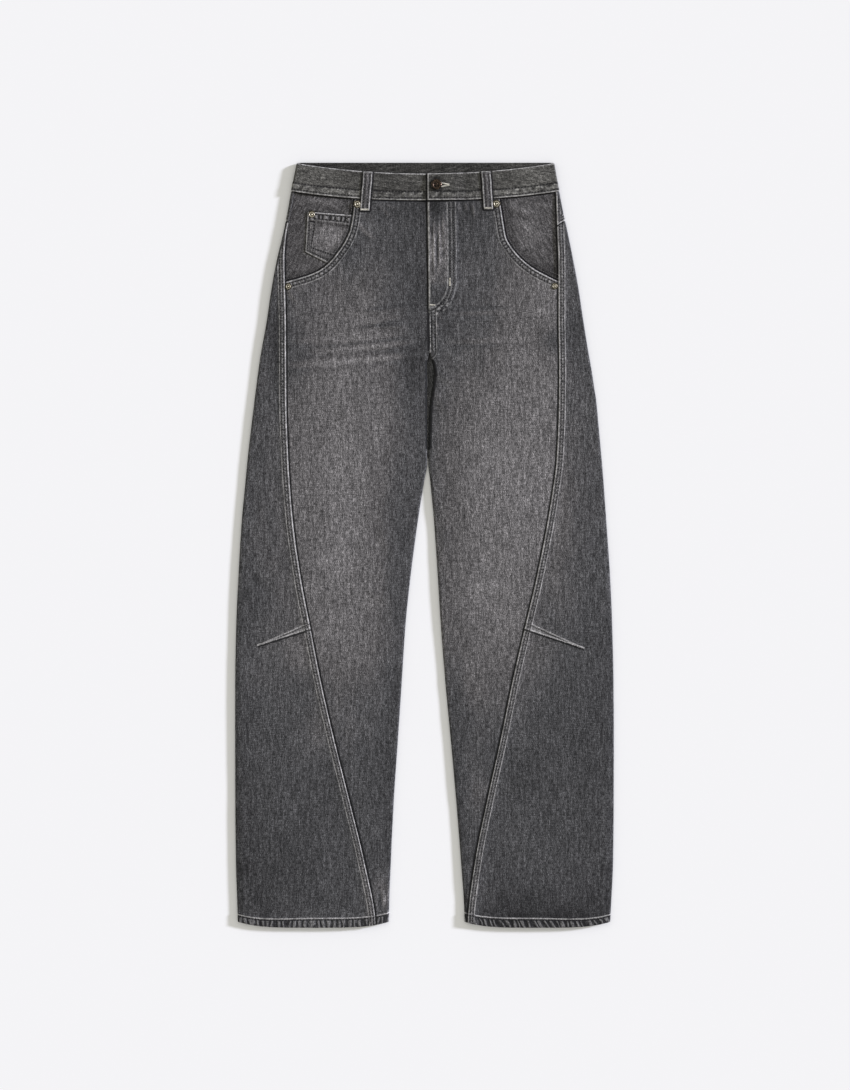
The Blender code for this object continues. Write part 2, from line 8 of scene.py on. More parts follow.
import bpy
import numpy as np
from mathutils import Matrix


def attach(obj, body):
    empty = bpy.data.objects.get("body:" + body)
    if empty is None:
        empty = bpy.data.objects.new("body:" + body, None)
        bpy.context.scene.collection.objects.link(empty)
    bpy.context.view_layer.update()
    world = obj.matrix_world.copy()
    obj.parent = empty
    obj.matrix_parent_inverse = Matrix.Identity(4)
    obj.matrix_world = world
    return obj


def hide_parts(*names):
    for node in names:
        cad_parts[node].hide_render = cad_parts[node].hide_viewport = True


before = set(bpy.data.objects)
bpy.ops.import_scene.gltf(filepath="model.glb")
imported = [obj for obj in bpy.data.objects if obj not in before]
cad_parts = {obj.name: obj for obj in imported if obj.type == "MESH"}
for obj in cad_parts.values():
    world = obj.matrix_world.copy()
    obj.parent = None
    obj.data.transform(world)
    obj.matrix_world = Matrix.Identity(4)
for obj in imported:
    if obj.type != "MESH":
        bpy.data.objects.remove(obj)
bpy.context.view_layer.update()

# %% [markdown]
# ## One set of sizes for every piece
# All lengths here are in millimetres. DOWN runs from the top edge of the back waistband to the hems, OUT
# runs from the middle line to either side, and UP is the height above the table. Short tables give where
# the folds and seams lie, and a curve runs through each column. The pieces then share their edges, so
# they meet without gaps.

# %% Read tables as smooth curves
MM = 0.001
LENGTH = 1060.0
RIGHT, LEFT = -1, 1
SIDE_NAMES = {RIGHT: "right", LEFT: "left"}


class Sections:
    """A short table read as smooth curves: cubic spans between rows that never overshoot a row's value."""

    def __init__(self, columns, rows):
        values = np.array(rows, float)
        self.down = values[:, 0]
        self.values = {name: values[:, i] for i, name in enumerate(columns)}

    def at(self, column, down):
        knots, values = self.down, self.values[column]
        chords = np.diff(values) / np.diff(knots)
        before, after = chords[:-1], chords[1:]
        same_way = before * after > 0
        mean = 2 * before * after / np.where(same_way, before + after, 1.0)
        slopes = np.concatenate([chords[:1], np.where(same_way, mean, 0.0), chords[-1:]])
        down = np.clip(down, knots[0], knots[-1])
        span = np.clip(np.searchsorted(knots, down, side="right") - 1, 0, len(knots) - 2)
        width = knots[span + 1] - knots[span]
        t = (down - knots[span]) / width
        start = (1 + 2 * t) * (1 - t) ** 2 * values[span] + t * (1 - t) ** 2 * width * slopes[span]
        end = t * t * (3 - 2 * t) * values[span + 1] + t * t * (t - 1) * width * slopes[span + 1]
        return start + end


def ease(low, high, value):
    """0 up to low, 1 from high, and a smooth step between."""
    t = np.clip((value - low) / (high - low), 0.0, 1.0)
    return t * t * (3 - 2 * t)


def hump(value, width):
    """One at value 0, falling off on both sides: e to the power of minus (value / width) squared."""
    return np.exp(-((value / width) ** 2))


# %% Where each leg's folds and seams lie
SIDE_COLUMNS = ("down", "outer", "seam", "inner")
SIDE_ROWS = {
    RIGHT: (
        (0, 176.9, 172.0, -3.7), (38, 184.6, 180.0, -3.7), (70, 190.3, 185.7, -3.8),
        (100, 196.3, 191.7, -4.0), (135, 204.7, 194.2, -4.2), (170, 211.3, 193.5, -4.3),
        (220, 218.8, 192.2, -4.2), (276, 228.6, 191.9, -3.6), (330, 235.7, 191.6, -3.7),
        (416, 245.8, 188.6, -3.9), (440, 248.0, 187.2, 0.2), (495, 253.2, 182.7, 9.0),
        (578, 258.2, 171.1, 19.9), (641, 261.0, 159.0, 26.4), (717, 262.4, 144.2, 31.4),
        (800, 262.5, 125.2, 36.9), (884, 262.3, 104.2, 42.6), (967, 261.5, 84.0, 46.6),
        (1045, 259.2, 69.0, 49.2), (1060, 258.8, 67.8, 49.3),
    ),
    LEFT: (
        (0, 179.7, 175.1, 4.0), (38, 186.6, 182.0, 4.1), (70, 192.7, 183.3, 4.4), (100, 199.1, 184.2, 4.8),
        (135, 206.1, 185.4, 5.2), (170, 212.7, 185.6, 5.6), (220, 220.3, 185.6, 6.0),
        (262, 227.0, 186.2, 6.8), (290, 232.0, 186.5, 12.6), (308, 234.6, 186.4, 11.2),
        (330, 238.1, 186.2, 7.7), (357, 240.6, 185.6, 6.0), (416, 246.0, 182.8, 5.2),
        (440, 248.0, 179.8, 7.7), (495, 251.9, 171.1, 13.0), (578, 257.5, 154.7, 18.7),
        (641, 260.2, 139.9, 22.6), (717, 262.0, 122.4, 28.6), (800, 262.5, 105.5, 36.4),
        (884, 262.3, 87.0, 43.9), (967, 261.5, 70.4, 50.4), (1045, 258.2, 60.8, 55.2),
        (1060, 257.4, 60.0, 55.5),
    ),
}
OPENING_COLUMNS = ("down", "edge")
OPENING_ROWS = {
    RIGHT: (
        (38, 96.2), (53, 96.8), (72, 98.9), (92, 102.5), (109, 109.6), (126, 121.0), (139, 131.8),
        (149, 144.5), (156, 159.5), (161, 175.5), (166, 193.6),
    ),
    LEFT: (
        (38, 103.4), (53, 104.0), (62, 105.5), (81, 108.5), (104, 112.7), (119, 121.2), (135, 135.3),
        (148, 152.3), (158, 170.8), (165, 185.3),
    ),
}
OPENING_END = {RIGHT: 166.0, LEFT: 165.0}
PUFF_COLUMNS = ("down", "edge", "rise")
PUFF_ROWS = (
    (0, 5.7, 0.5), (60, 5.6, 0.6), (170, 5.4, 0.8), (330, 4.4, 1.4), (600, 4.2, 1.6), (900, 4.1, 1.5),
    (1060, 4.2, 1.2),
)
SIDES = {side: Sections(SIDE_COLUMNS, rows) for side, rows in SIDE_ROWS.items()}
OPENINGS = {side: Sections(OPENING_COLUMNS, rows) for side, rows in OPENING_ROWS.items()}
PUFF = Sections(PUFF_COLUMNS, PUFF_ROWS)

SEAM_GAP = 0.3
WALL = 1.0
BAND_WALL = 1.7
LOOP_WALL = 1.1
CAD_WALL = 1.1
WAISTBAND_FLOOR = 1.5
WAISTBAND_TOP = 6.8
WAISTBAND_HEIGHT = 37.5
BAND_FOLD = 180.0
OVERLAP_LIFT = 2.35
FLY_LIFT, FLY_OUT, FLY_END = 1.2, 44.0, 208.0
CROTCH, LEGS_PART = 276.0, 410.0
YOKE_OUTSEAM = {RIGHT: 82.0, LEFT: 87.0}
YOKE_FOLD, YOKE_MIDDLE = 80.0, 112.0
DART_DOWN, DART_RISE, DART_REACH = 669.0, 29.0, 0.72
SEAM_WELT, SEAM_LIFT = 8.0, 0.8
HEM_WELT, HEM_LIFT, HEM_BOW = 13.0, 0.7, 8.0
PATCH_OUT, PATCH_DOWN, PATCH_POINT, PATCH_LIFT, PATCH_RAMP = (38.0, 166.0), (150.0, 294.0), 18.0, 1.5, 9.0
LOOP_WIDTH = 12.5
FRONT_LOOPS = {RIGHT: (-78.2, -82.6), LEFT: (85.0, 88.7)}
FRONT_LOOP_END = {RIGHT: 67.0, LEFT: 65.0}
BACK_LOOPS = {"back_right": -118.0, "back_middle": 0.0, "back_left": 118.0}
BACK_LOOP_END = 54.0
print(
    "hem width:", round(float(SIDES[RIGHT].at("outer", LENGTH) - SIDES[RIGHT].at("inner", LENGTH)), 1), "mm"
)

# %% [markdown]
# ## The form of the garment
# Trousers that lie on a table are two layers of cloth with a little air between them. The upper layer
# swells softly between the outer fold and the inseam. These functions give the height of each layer, as
# the solids have it, for whole arrays of points at once.

# %% Heights of the layers


def band_top(out):
    """How far down the front waistband's upper edge lies: a shallow dip towards the middle."""
    return 15.8 - 14.0 * (np.abs(out) / 180.0) ** 2


def band_bottom(out):
    """How far down the front waistband's lower edge lies."""
    return 52.6 - 13.3 * (np.abs(out) / 186.0) ** 2.3


def hem_bow(share, down):
    """The hem line bows down in the middle of the leg."""
    return HEM_BOW * (2 * share - 1) ** 4 * ease(LENGTH - 110, LENGTH, down)


def hem_narrowing(side, out, down):
    """The hem is sewn nearer to its edge towards the outer fold."""
    return 2.4 * ease(0.55, 1.0, out / SIDES[side].at("outer", down))


def leg_share(side, out, down):
    """0 at the outer fold and 1 at the inner edge."""
    outer, inner = SIDES[side].at("outer", down), SIDES[side].at("inner", down)
    return np.clip((outer - out) / (outer - inner), 0.0, 1.0)


def top_height(side, out, down):
    """Height of the front's outer face: a soft swell between the outer fold and the inner edge."""
    share = leg_share(side, out, down)
    legs = ease(230, 330, down)
    swell = np.sin(np.pi * share) ** 0.7 * legs + ease(0, 0.3, share) * (1 - legs)
    waves = 0.25 * np.sin(down / 41.0 + 2.2 * share) * np.sin(np.pi * share)
    height = PUFF.at("edge", down) + PUFF.at("rise", down) * swell + waves
    return height + HEM_LIFT * ease(LENGTH - HEM_WELT - 1.2, LENGTH - HEM_WELT, down)


def fly_lift(side, out, down):
    """The wearer's left front rises over the fly, which has a J shape."""
    if side == RIGHT:
        return np.zeros(np.broadcast(out, down).shape)
    reach = FLY_OUT * np.sqrt(np.clip(1 - (np.clip(down - 160, 0, None) / (FLY_END - 160)) ** 2, 0, 1))
    return FLY_LIFT * (1 - ease(reach - 1, reach + 5, out)) * (1 - ease(FLY_END - 8, FLY_END + 4, down))


def floor_height(out, down):
    """Height of the back's outer face: near the table, but lifted by the waistband and the patch pockets."""
    near_band = WAISTBAND_FLOOR * (1 - ease(58, 76, down))
    across = ease(PATCH_OUT[0] - PATCH_RAMP, PATCH_OUT[0] - 1, out)
    across = across * (1 - ease(PATCH_OUT[1] + 1, PATCH_OUT[1] + PATCH_RAMP, out))
    along = ease(PATCH_DOWN[0] - PATCH_RAMP, PATCH_DOWN[0] - 1, down)
    along = along * (1 - ease(PATCH_DOWN[1] + 1, PATCH_DOWN[1] + PATCH_RAMP, down))
    return np.maximum(near_band, PATCH_LIFT * across * along)


print("height over the thigh:", round(float(top_height(RIGHT, 100.0, 400.0)), 2), "mm")

# %% [markdown]
# ## Soft folds from washing and wearing
# Denim that was worn and washed keeps faint hollows and ridges. Broad ones come from soft hills at three
# sizes. The main ones are listed one by one: whiskers across the thighs, pulls that fan out from the crotch,
# and slack rings at the knees. Each is a line with a width and a height, and its ends fade out.

# %% Make hills and creases


def hills(x, y, size, seed):
    """Soft hills from -1 to 1: random heights on a square lattice of that size, joined by smooth steps."""
    lattice = np.random.default_rng(seed).uniform(-1, 1, (97, 97))
    across, along = x / size + 40.0, y / size + 40.0
    i, j = np.floor(across).astype(int), np.floor(along).astype(int)
    u, v = ease(0, 1, across - i), ease(0, 1, along - j)
    i, j = i % 96, j % 96
    top = lattice[i, j] * (1 - u) + lattice[i + 1, j] * u
    low = lattice[i, j + 1] * (1 - u) + lattice[i + 1, j + 1] * u
    return top * (1 - v) + low * v


# columns: x0, down0, x1, down1, width, height, sag
FRONT_CREASES = (
    (-68, 219, -26, 225, 3.6, 0.42, 2.0), (-104, 247, -40, 252, 4.2, 0.50, 3.0),
    (-98, 270, -42, 266, 3.8, 0.42, 2.5), (-150, 236, -96, 232, 5.0, 0.28, -3.0),
    (-128, 196, -60, 204, 6.0, 0.26, 4.0), (30, 222, 96, 214, 4.6, 0.34, 3.0),
    (26, 246, 88, 240, 4.2, 0.40, 2.0), (44, 266, 120, 254, 5.0, 0.30, -3.0),
    (104, 226, 158, 214, 5.0, 0.26, 3.0), (8, 282, 52, 306, 5.0, 0.55, 4.0),
    (10, 300, 40, 352, 5.5, 0.45, 5.0), (-6, 286, -48, 312, 5.0, 0.50, -4.0),
    (-6, 306, -36, 360, 5.5, 0.40, -5.0), (-80, 72, -52, 92, 4.5, 0.35, 1.0),
    (86, 72, 62, 96, 4.5, 0.35, 1.0), (-190, 172, -172, 196, 2.6, 0.50, 1.0),
    (186, 172, 168, 198, 2.8, 0.35, 1.0), (168, 609, 178, 648, 2.2, 0.55, 2.0),
    (-92, 585, -36, 604, 6.5, 0.40, 4.0), (-140, 640, -60, 632, 7.0, 0.35, 5.0),
    (40, 596, 110, 580, 6.5, 0.40, 4.0), (46, 650, 120, 640, 7.0, 0.35, -4.0),
    (-236, 560, -196, 590, 7.0, 0.40, 3.0), (238, 520, 196, 556, 7.0, 0.40, 3.0),
    (-250, 700, -190, 724, 7.5, 0.35, 4.0), (250, 716, 186, 736, 7.5, 0.35, 4.0),
    (-218, 860, -120, 880, 9.0, 0.30, 6.0), (212, 850, 110, 872, 9.0, 0.30, 6.0),
    (-64, 500, -30, 560, 6.0, 0.35, 3.0), (34, 480, 26, 560, 6.0, 0.30, 3.0),
)
BACK_CREASES = (
    (-20, 300, -110, 338, 6.0, 0.40, 5.0), (20, 300, 112, 330, 6.0, 0.40, 5.0),
    (-24, 340, -96, 400, 7.0, 0.35, 6.0), (26, 344, 92, 396, 7.0, 0.35, 6.0),
    (-200, 600, -90, 612, 7.0, 0.45, 5.0), (84, 606, 196, 592, 7.0, 0.45, 5.0),
    (-216, 650, -110, 668, 8.0, 0.40, 5.0), (104, 664, 214, 646, 8.0, 0.40, 5.0),
    (-150, 900, -70, 920, 9.0, 0.30, 4.0), (76, 910, 160, 890, 9.0, 0.30, 4.0),
)


def creases(x, down, table):
    """The heights of a table's creases: a bell across the line, and a smooth fade along it to both ends."""
    height = np.zeros(np.broadcast(x, down).shape)
    for x0, down0, x1, down1, width, rise, sag in table:
        run = math.hypot(x1 - x0, down1 - down0)
        way_x, way_down = (x1 - x0) / run, (down1 - down0) / run
        along = ((x - x0) * way_x + (down - down0) * way_down) / run
        across = (down - down0) * way_x - (x - x0) * way_down - 4 * sag * along * (1 - along)
        fade = ease(0, 0.35, along) * (1 - ease(0.65, 1, along))
        height += rise * fade * (hump(across, width) - 0.6 * hump(across - 2 * width, width))
    return height


WORN_FOLDS = (
    (13.0, 72, 14.2, 166, 1.7, 0.50, 0.5), (20.8, 80, 20.0, 162, 1.5, 0.50, -0.5),
    (26.0, 56, 29.0, 138, 1.8, 0.26, 0.6), (8.5, 56, 9.0, 130, 1.5, 0.24, 0.2),
    (10.5, 213, 23.0, 233, 1.7, 0.42, 1.0), (11.0, 224, 25.0, 250, 1.8, 0.36, 1.5),
    (16.0, 209, 27.0, 219, 1.5, 0.36, 0.6), (8.0, 236, 17.0, 262, 1.8, 0.30, 1.0),
    (47.0, 54, 50.0, 74, 1.9, 0.34, 0.3), (57.0, 54, 60.0, 71, 1.9, 0.30, 0.3),
    (67.0, 54, 70.0, 80, 1.9, 0.34, 0.3), (-64.0, 56, -44.0, 78, 2.4, 0.24, 1.0),
    (-60.0, 56, -28.0, 66, 2.2, 0.20, 1.0), (-176.0, 47, -108.0, 58, 5.0, 0.26, 2.0),
    (-172.0, 58, -110.0, 72, 3.0, 0.18, 2.0), (-108.0, 52, -96.0, 66, 2.4, 0.24, 1.0),
    (106.0, 54, 156.0, 72, 4.5, 0.22, 2.0), (150.0, 56, 182.0, 62, 3.0, 0.22, 1.0),
    (-190.0, 170, -180.0, 196, 2.2, 0.30, 1.5), (-196.0, 174, -190.0, 190, 1.8, 0.24, 0.5),
    (-94.0, 80, -64.0, 108, 2.6, 0.26, 4.0), (-60.0, 1002, -55.0, 1038, 2.4, 0.34, -1.0),
    (64.0, 1002, 60.0, 1036, 2.4, 0.30, 1.0),
)


WHISKERS = (
    # x, down, to x, to down, width, tone, sag
    (-110, 209, -2, 194, 2.8, -11, 0.0), (-120, 227, -20, 211, 3.4, 12, 0.0),
    (-124, 230, -14, 222, 2.8, -10, 1.0), (-214, 250, -10, 237, 4.0, 11, 1.0),
    (-166, 259, 10, 238, 2.6, -13, 1.0), (-122, 259, 4, 248, 2.8, 12, 1.0),
    (-214, 271, 10, 258, 4.0, -10, 2.0), (-226, 284, 16, 262, 3.4, 14, 3.0),
    (20, 206, 146, 200, 2.6, -12, 0.0), (20, 211, 136, 206, 3.0, 6, 0.0), (6, 251, 176, 244, 3.0, 11, 0.0),
    (140, 209, 204, 204, 3.0, 10, 0.0),
)


def worn_folds(x, down):
    """The heights of the small folds whose ridges are rubbed pale."""
    return creases(x, down, WORN_FOLDS)


def front_relief(x, down):
    """All soft folds of the upper layer. They calm down towards the waistband, which is stiff."""
    broad = 0.42 * hills(x, down, 96, 11) + 0.26 * hills(x, down, 43, 12) + 0.10 * hills(x, down, 16, 13)
    calm = 0.25 + 0.75 * ease(52, 120, down)
    return (broad + creases(x, down, FRONT_CREASES)) * calm + worn_folds(x, down)


def under_relief(x, down):
    """Soft folds of the lower layer, which only rise, because the table is below."""
    broad = 0.25 + 0.16 * hills(x, down, 80, 21) + 0.09 * hills(x, down, 34, 22)
    return np.clip(broad + 0.7 * creases(x, down, BACK_CREASES), 0.1, None)


print("creases placed by hand:", len(FRONT_CREASES) + len(BACK_CREASES))

# %% [markdown]
# ## Lines that seams follow
# A seam is a line on the garment. Stitches, worn edges and shadows all follow it, so each line can say for
# any point how far away it is and how far along the line its nearest place lies. The nearest sample is
# found with arrays, a few thousand points at a time.

# %% Measure from lines


class Line:
    """A line in x and down, sampled about every millimetre."""

    def __init__(self, x, down):
        x, down = np.asarray(x, float), np.asarray(down, float)
        length = np.concatenate([[0], np.cumsum(np.hypot(np.diff(x), np.diff(down)))])
        self.run = np.linspace(0, length[-1], max(2, int(length[-1]) + 1))
        self.x, self.down = np.interp(self.run, length, x), np.interp(self.run, length, down)

    def near(self, x, down):
        """(distance, run): how far points lie from the line, and where along it their nearest place is."""
        shape = np.broadcast(x, down).shape
        x, down = np.broadcast_to(x, shape).ravel(), np.broadcast_to(down, shape).ravel()
        step = self.run[1] - self.run[0]
        way_x, way_down = np.gradient(self.x, step), np.gradient(self.down, step)
        distance, run = np.empty(len(x)), np.empty(len(x))
        for first in range(0, len(x), 4000):
            part = slice(first, first + 4000)
            squares = (x[part, None] - self.x) ** 2 + (down[part, None] - self.down) ** 2
            i = squares.argmin(axis=1)
            aside_x, aside_down = x[part] - self.x[i], down[part] - self.down[i]
            along = np.clip(aside_x * way_x[i] + aside_down * way_down[i], -step, step)
            along = np.where((i == 0) & (along < 0) | (i == len(self.x) - 1) & (along > 0), 0, along)
            distance[part] = np.hypot(aside_x - along * way_x[i], aside_down - along * way_down[i])
            run[part] = self.run[i] + along
        return distance.reshape(shape), run.reshape(shape)

    def at(self, run):
        """Points on the line and its direction there, as x, down, way_x and way_down."""
        x, down = np.interp(run, self.run, self.x), np.interp(run, self.run, self.down)
        ahead_x = np.interp(run + 0.5, self.run, self.x) - np.interp(run - 0.5, self.run, self.x)
        ahead_down = np.interp(run + 0.5, self.run, self.down) - np.interp(run - 0.5, self.run, self.down)
        size = np.hypot(ahead_x, ahead_down)
        return x, down, ahead_x / size, ahead_down / size

    def beside(self, offset):
        """The line moved sideways, to the right of its direction when that runs down the page."""
        x, down, way_x, way_down = self.at(self.run[1:-1])
        return Line(x - offset * way_down, down + offset * way_x)


def opening_line(side, extra=2.5):
    """The curved edge of a front pocket, on until it is under the outseam."""
    down = np.linspace(band_bottom(OPENINGS[side].at("edge", 50.0)), OPENING_END[side], 200)
    out = OPENINGS[side].at("edge", down)
    out = np.append(out, SIDES[side].at("seam", OPENING_END[side]) + extra)
    return Line(side * out, np.append(down, OPENING_END[side] + 0.7))


def outseam_line(side):
    """The edge of the side seam on the front, from the waistband to the hem."""
    down = np.linspace(40, LENGTH - 1, 1000)
    out = SIDES[side].at("seam", down)
    return Line(side * out, down - hem_bow(leg_share(side, out, down), down))


OPENING_LINES = {side: opening_line(side) for side in SIDES}
OUTSEAM_LINES = {side: outseam_line(side) for side in SIDES}
FLY_DOWN = np.linspace(52.5, 262, 210)
FLY_LINE = Line(SIDES[LEFT].at("inner", FLY_DOWN), FLY_DOWN)
DART_LINES = {
    RIGHT: (Line([-159.9, -231.3], [637.2, 669.3]), Line([-158.6, -231.3], [646.2, 669.3])),
    LEFT: (Line([139.7, 221.3], [636.6, 673.3]), Line([139.2, 221.3], [646.0, 673.3])),
}
print(
    "pocket opening:", round(OPENING_LINES[RIGHT].run[-1]), "mm, outseam:",
    round(OUTSEAM_LINES[RIGHT].run[-1]), "mm"
)

# %% [markdown]
# ## How the wash changes the colour
# Stone washing takes most dye off where the cloth is full and touches things: the thighs and the knees. The
# lower legs, the inner edges and the strip behind the side seam stay darker. A table gives the tone down
# the leg at five places across it, and soft clouds make it uneven.

# %% Tones across the legs
TONE_COLUMNS = ("down", "fold", "strip", "seam", "centre", "inner")
TONE_ROWS = (
    (0, 66, 70, 72, 72, 68), (51, 68, 74, 76, 78, 70), (135, 70, 80, 84, 88, 66), (218, 72, 82, 93, 97, 68),
    (301, 74, 82, 98, 103, 70), (412, 76, 84, 101, 109, 74), (523, 75, 85, 101, 108, 75),
    (606, 73, 84, 99, 105, 73), (690, 71, 80, 87, 93, 71), (773, 69, 75, 79, 81, 68),
    (884, 67, 72, 74, 76, 66), (1060, 62, 67, 68, 69, 63),
)
TONES = Sections(TONE_COLUMNS, TONE_ROWS)


# columns: x, down, reach_x, reach_down, tone
PATCHES = (
    # x, down, reach sideways, reach down, tone
    (-190, 50, 12, 24, 8), (11, 56, 10, 34, -18), (-30, 66, 60, 26, -9), (60, 72, 46, 36, -10),
    (178, 76, 18, 26, -9), (-104, 118, 24, 28, -13), (150, 172, 40, 30, 6), (-204, 176, 16, 20, 9),
    (-222, 262, 13, 60, 7), (176, 190, 20, 60, 13), (-56, 205, 20, 34, -6), (84, 225, 28, 110, -13),
    (-200, 240, 14, 60, -8), (10, 244, 14, 24, -15), (180, 244, 24, 26, -26), (-200, 245, 22, 30, -6),
    (10, 250, 12, 90, 9), (-184, 262, 42, 76, -15), (10, 276, 10, 24, -8), (76, 280, 16, 30, -7),
    (-17, 283, 14, 26, -14), (-180, 320, 24, 60, -7), (-156, 340, 16, 30, 6), (-90, 345, 16, 50, -6),
    (22, 400, 18, 170, 9), (-150, 440, 26, 110, -9), (182, 450, 16, 60, 6), (-74, 470, 22, 160, -6),
    (-40, 500, 34, 110, -9), (184, 530, 22, 70, 10), (-158, 550, 14, 24, -6), (-90, 560, 14, 34, -6),
    (30, 640, 16, 110, 13), (14, 650, 12, 40, 6), (-160, 672, 40, 30, 9), (14, 674, 12, 34, 13),
    (-178, 690, 18, 24, 8), (150, 690, 46, 60, 6), (-190, 790, 14, 30, -6), (-142, 790, 20, 34, 9),
    (-200, 800, 60, 110, 6), (-150, 806, 12, 34, 6), (-70, 860, 26, 90, -7), (80, 875, 20, 24, 12),
    (46, 975, 20, 26, -8), (176, 980, 60, 40, 6), (80, 1010, 12, 20, 6), (-56, 1010, 20, 24, 16),
    (150, 1035, 110, 30, -4), (-150, 1048, 80, 14, 7), (150, 1048, 96, 14, -14),
)


def brightness(tone):
    """The share of light that a surface throws back when its tone on screen is 0 to 255."""
    return (np.asarray(tone) / 255.0) ** 2.2


def leg_tone(side, out, down):
    """Tone of a point of the upper layer, blended between the places across the leg."""
    seam, inner, outer = (SIDES[side].at(name, down) for name in ("seam", "inner", "outer"))
    across = (seam - out) / np.maximum(seam - inner, 30)
    beyond = np.clip((out - seam) / np.maximum(outer - seam, 12), 0, 1)
    front = TONES.at("seam", down) * (
        1 - ease(0, 0.35, across)
    ) + TONES.at("centre", down) * ease(0, 0.35, across)
    front = front + (TONES.at("inner", down) - TONES.at("centre", down)) * ease(0.55, 1.0, across)
    strip = TONES.at("strip", down) * (1 - beyond) + TONES.at("fold", down) * beyond
    tone = np.where(out > seam, strip, front)
    x = side * out
    for patch_x, patch_down, reach_x, reach_down, amount in PATCHES:
        tone = tone + amount * np.exp(
            -(((x - patch_x) / reach_x) ** 2) - ((down - patch_down) / reach_down) ** 2
        )
    tone = tone + creases(x, down, WHISKERS)
    tone = tone + 80.0 * worn_folds(x, down)
    felled = ease(0, 2, out - seam) * (1 - ease(7.5, 9.5, out - seam))
    tone = tone + felled * (7.0 + 16.0 * ease(900, 1010, down))
    tone = tone + 3.5 * hills(x, down, 60, 31) + 3.0 * hills(x, down * 0.4, 15, 32)
    return tone + 1.6 * hills(x, down * 0.3, 7, 33)


print("tone at the knee:", round(float(leg_tone(RIGHT, 100.0, 560.0)), 1))

# %% [markdown]
# ## The denim itself
# Denim is a twill: its warp threads run down the leg, some thicker than others, and pale weft flecks show
# between them. The pattern is made from noise stretched along the warp, fine grain, and slanted twill
# ribs. It follows each piece's own flat coordinates, so that a waistband cut across the cloth has its
# threads across. The groups give only colours, masks and heights. The shader stays in the material.

# %% Helpers for node trees


def node(tree, kind, inputs=(), **settings):
    """Add a node, set its options, and fill its inputs with values or links."""
    made = tree.nodes.new(kind)
    for name, value in settings.items():
        setattr(made, name, value)
    for key, value in dict(inputs).items():
        if isinstance(value, bpy.types.NodeSocket):
            tree.links.new(value, made.inputs[key])
        else:
            made.inputs[key].default_value = value
    return made


def calc(tree, operation, first, second=0.0, clamp=False):
    """The result of one sum on two values."""
    return node(
        tree, "ShaderNodeMath", {0: first, 1: second}, operation=operation, use_clamp=clamp
    ).outputs[0]


def ramp(tree, value, low, high, start, end):
    """start below low, end above high, and a smooth step between."""
    inputs = {"Value": value, "From Min": low, "From Max": high, "To Min": start, "To Max": end}
    return node(tree, "ShaderNodeMapRange", inputs, interpolation_type="SMOOTHSTEP").outputs["Result"]


def noise(tree, vector, stretch, detail=2.0, roughness=0.5):
    """Noise of a vector in millimetres. stretch gives the size of its features along each axis."""
    scale = tuple(1.0 / size for size in stretch)
    scaled = node(tree, "ShaderNodeVectorMath", {0: vector, 1: scale}, operation="MULTIPLY").outputs[0]
    inputs = {"Vector": scaled, "Scale": 1.0, "Detail": detail, "Roughness": roughness}
    return node(tree, "ShaderNodeTexNoise", inputs).outputs["Fac"]


def pair(tree, first, second, third=0.0):
    """A vector from two or three values."""
    return node(tree, "ShaderNodeCombineXYZ", {"X": first, "Y": second, "Z": third}).outputs[0]


def group(name, inputs, outputs):
    """An empty node group with float or vector sockets. Returns it with its input and output nodes."""
    tree = bpy.data.node_groups.new(name, "ShaderNodeTree")
    for socket, kind in inputs:
        tree.interface.new_socket(socket, in_out="INPUT", socket_type=kind)
    for socket, kind in outputs:
        tree.interface.new_socket(socket, in_out="OUTPUT", socket_type=kind)
    return tree, tree.nodes.new("NodeGroupInput"), tree.nodes.new("NodeGroupOutput")


FLOAT, VECTOR, COLOR = "NodeSocketFloat", "NodeSocketVector", "NodeSocketColor"

# %% The weave group
weave, weave_in, weave_out = group("denim weave", [("Cloth", VECTOR)], [("Fleck", FLOAT), ("Height", FLOAT)])
cloth_point = weave_in.outputs["Cloth"]
slubs = noise(weave, cloth_point, (1.3, 5.6, 1.0), detail=2.0, roughness=0.6)
long_threads = noise(weave, cloth_point, (2.6, 36.0, 1.0), detail=2.0)
grain = noise(weave, cloth_point, (1.5, 1.7, 1.0), detail=2.0, roughness=0.7)
weft = noise(weave, cloth_point, (7.0, 1.4, 1.0), detail=2.0)
split = node(weave, "ShaderNodeSeparateXYZ", {"Vector": cloth_point})
slant = calc(
    weave, "ADD", calc(weave, "MULTIPLY", split.outputs[0], 2.2),
    calc(weave, "MULTIPLY", split.outputs[1], 1.5)
)
ribs = calc(weave, "SINE", slant)
fleck = calc(
    weave, "MULTIPLY", ramp(weave, slubs, 0.28, 0.72, 0.42, 1.58), ramp(weave, grain, 0.26, 0.74, 0.36, 1.66)
)
fleck = calc(weave, "MULTIPLY", fleck, ramp(weave, long_threads, 0.25, 0.75, 0.74, 1.26))
blotches = noise(weave, cloth_point, (3.8, 20.0, 1.0), detail=2.0)
fleck = calc(weave, "MULTIPLY", fleck, ramp(weave, blotches, 0.3, 0.7, 0.74, 1.26))
fleck = calc(weave, "MULTIPLY", fleck, ramp(weave, weft, 0.25, 0.75, 0.68, 1.32))
fleck = calc(weave, "MULTIPLY", fleck, ramp(weave, ribs, -1.0, 1.0, 0.90, 1.10))
weave.links.new(fleck, weave_out.inputs["Fleck"])
height = calc(weave, "ADD", calc(weave, "MULTIPLY", ribs, 0.04), calc(weave, "MULTIPLY", slubs, 0.25))
height = calc(weave, "ADD", height, calc(weave, "MULTIPLY", grain, 0.35))
weave.links.new(height, weave_out.inputs["Height"])
print("weave nodes:", len(weave.nodes))

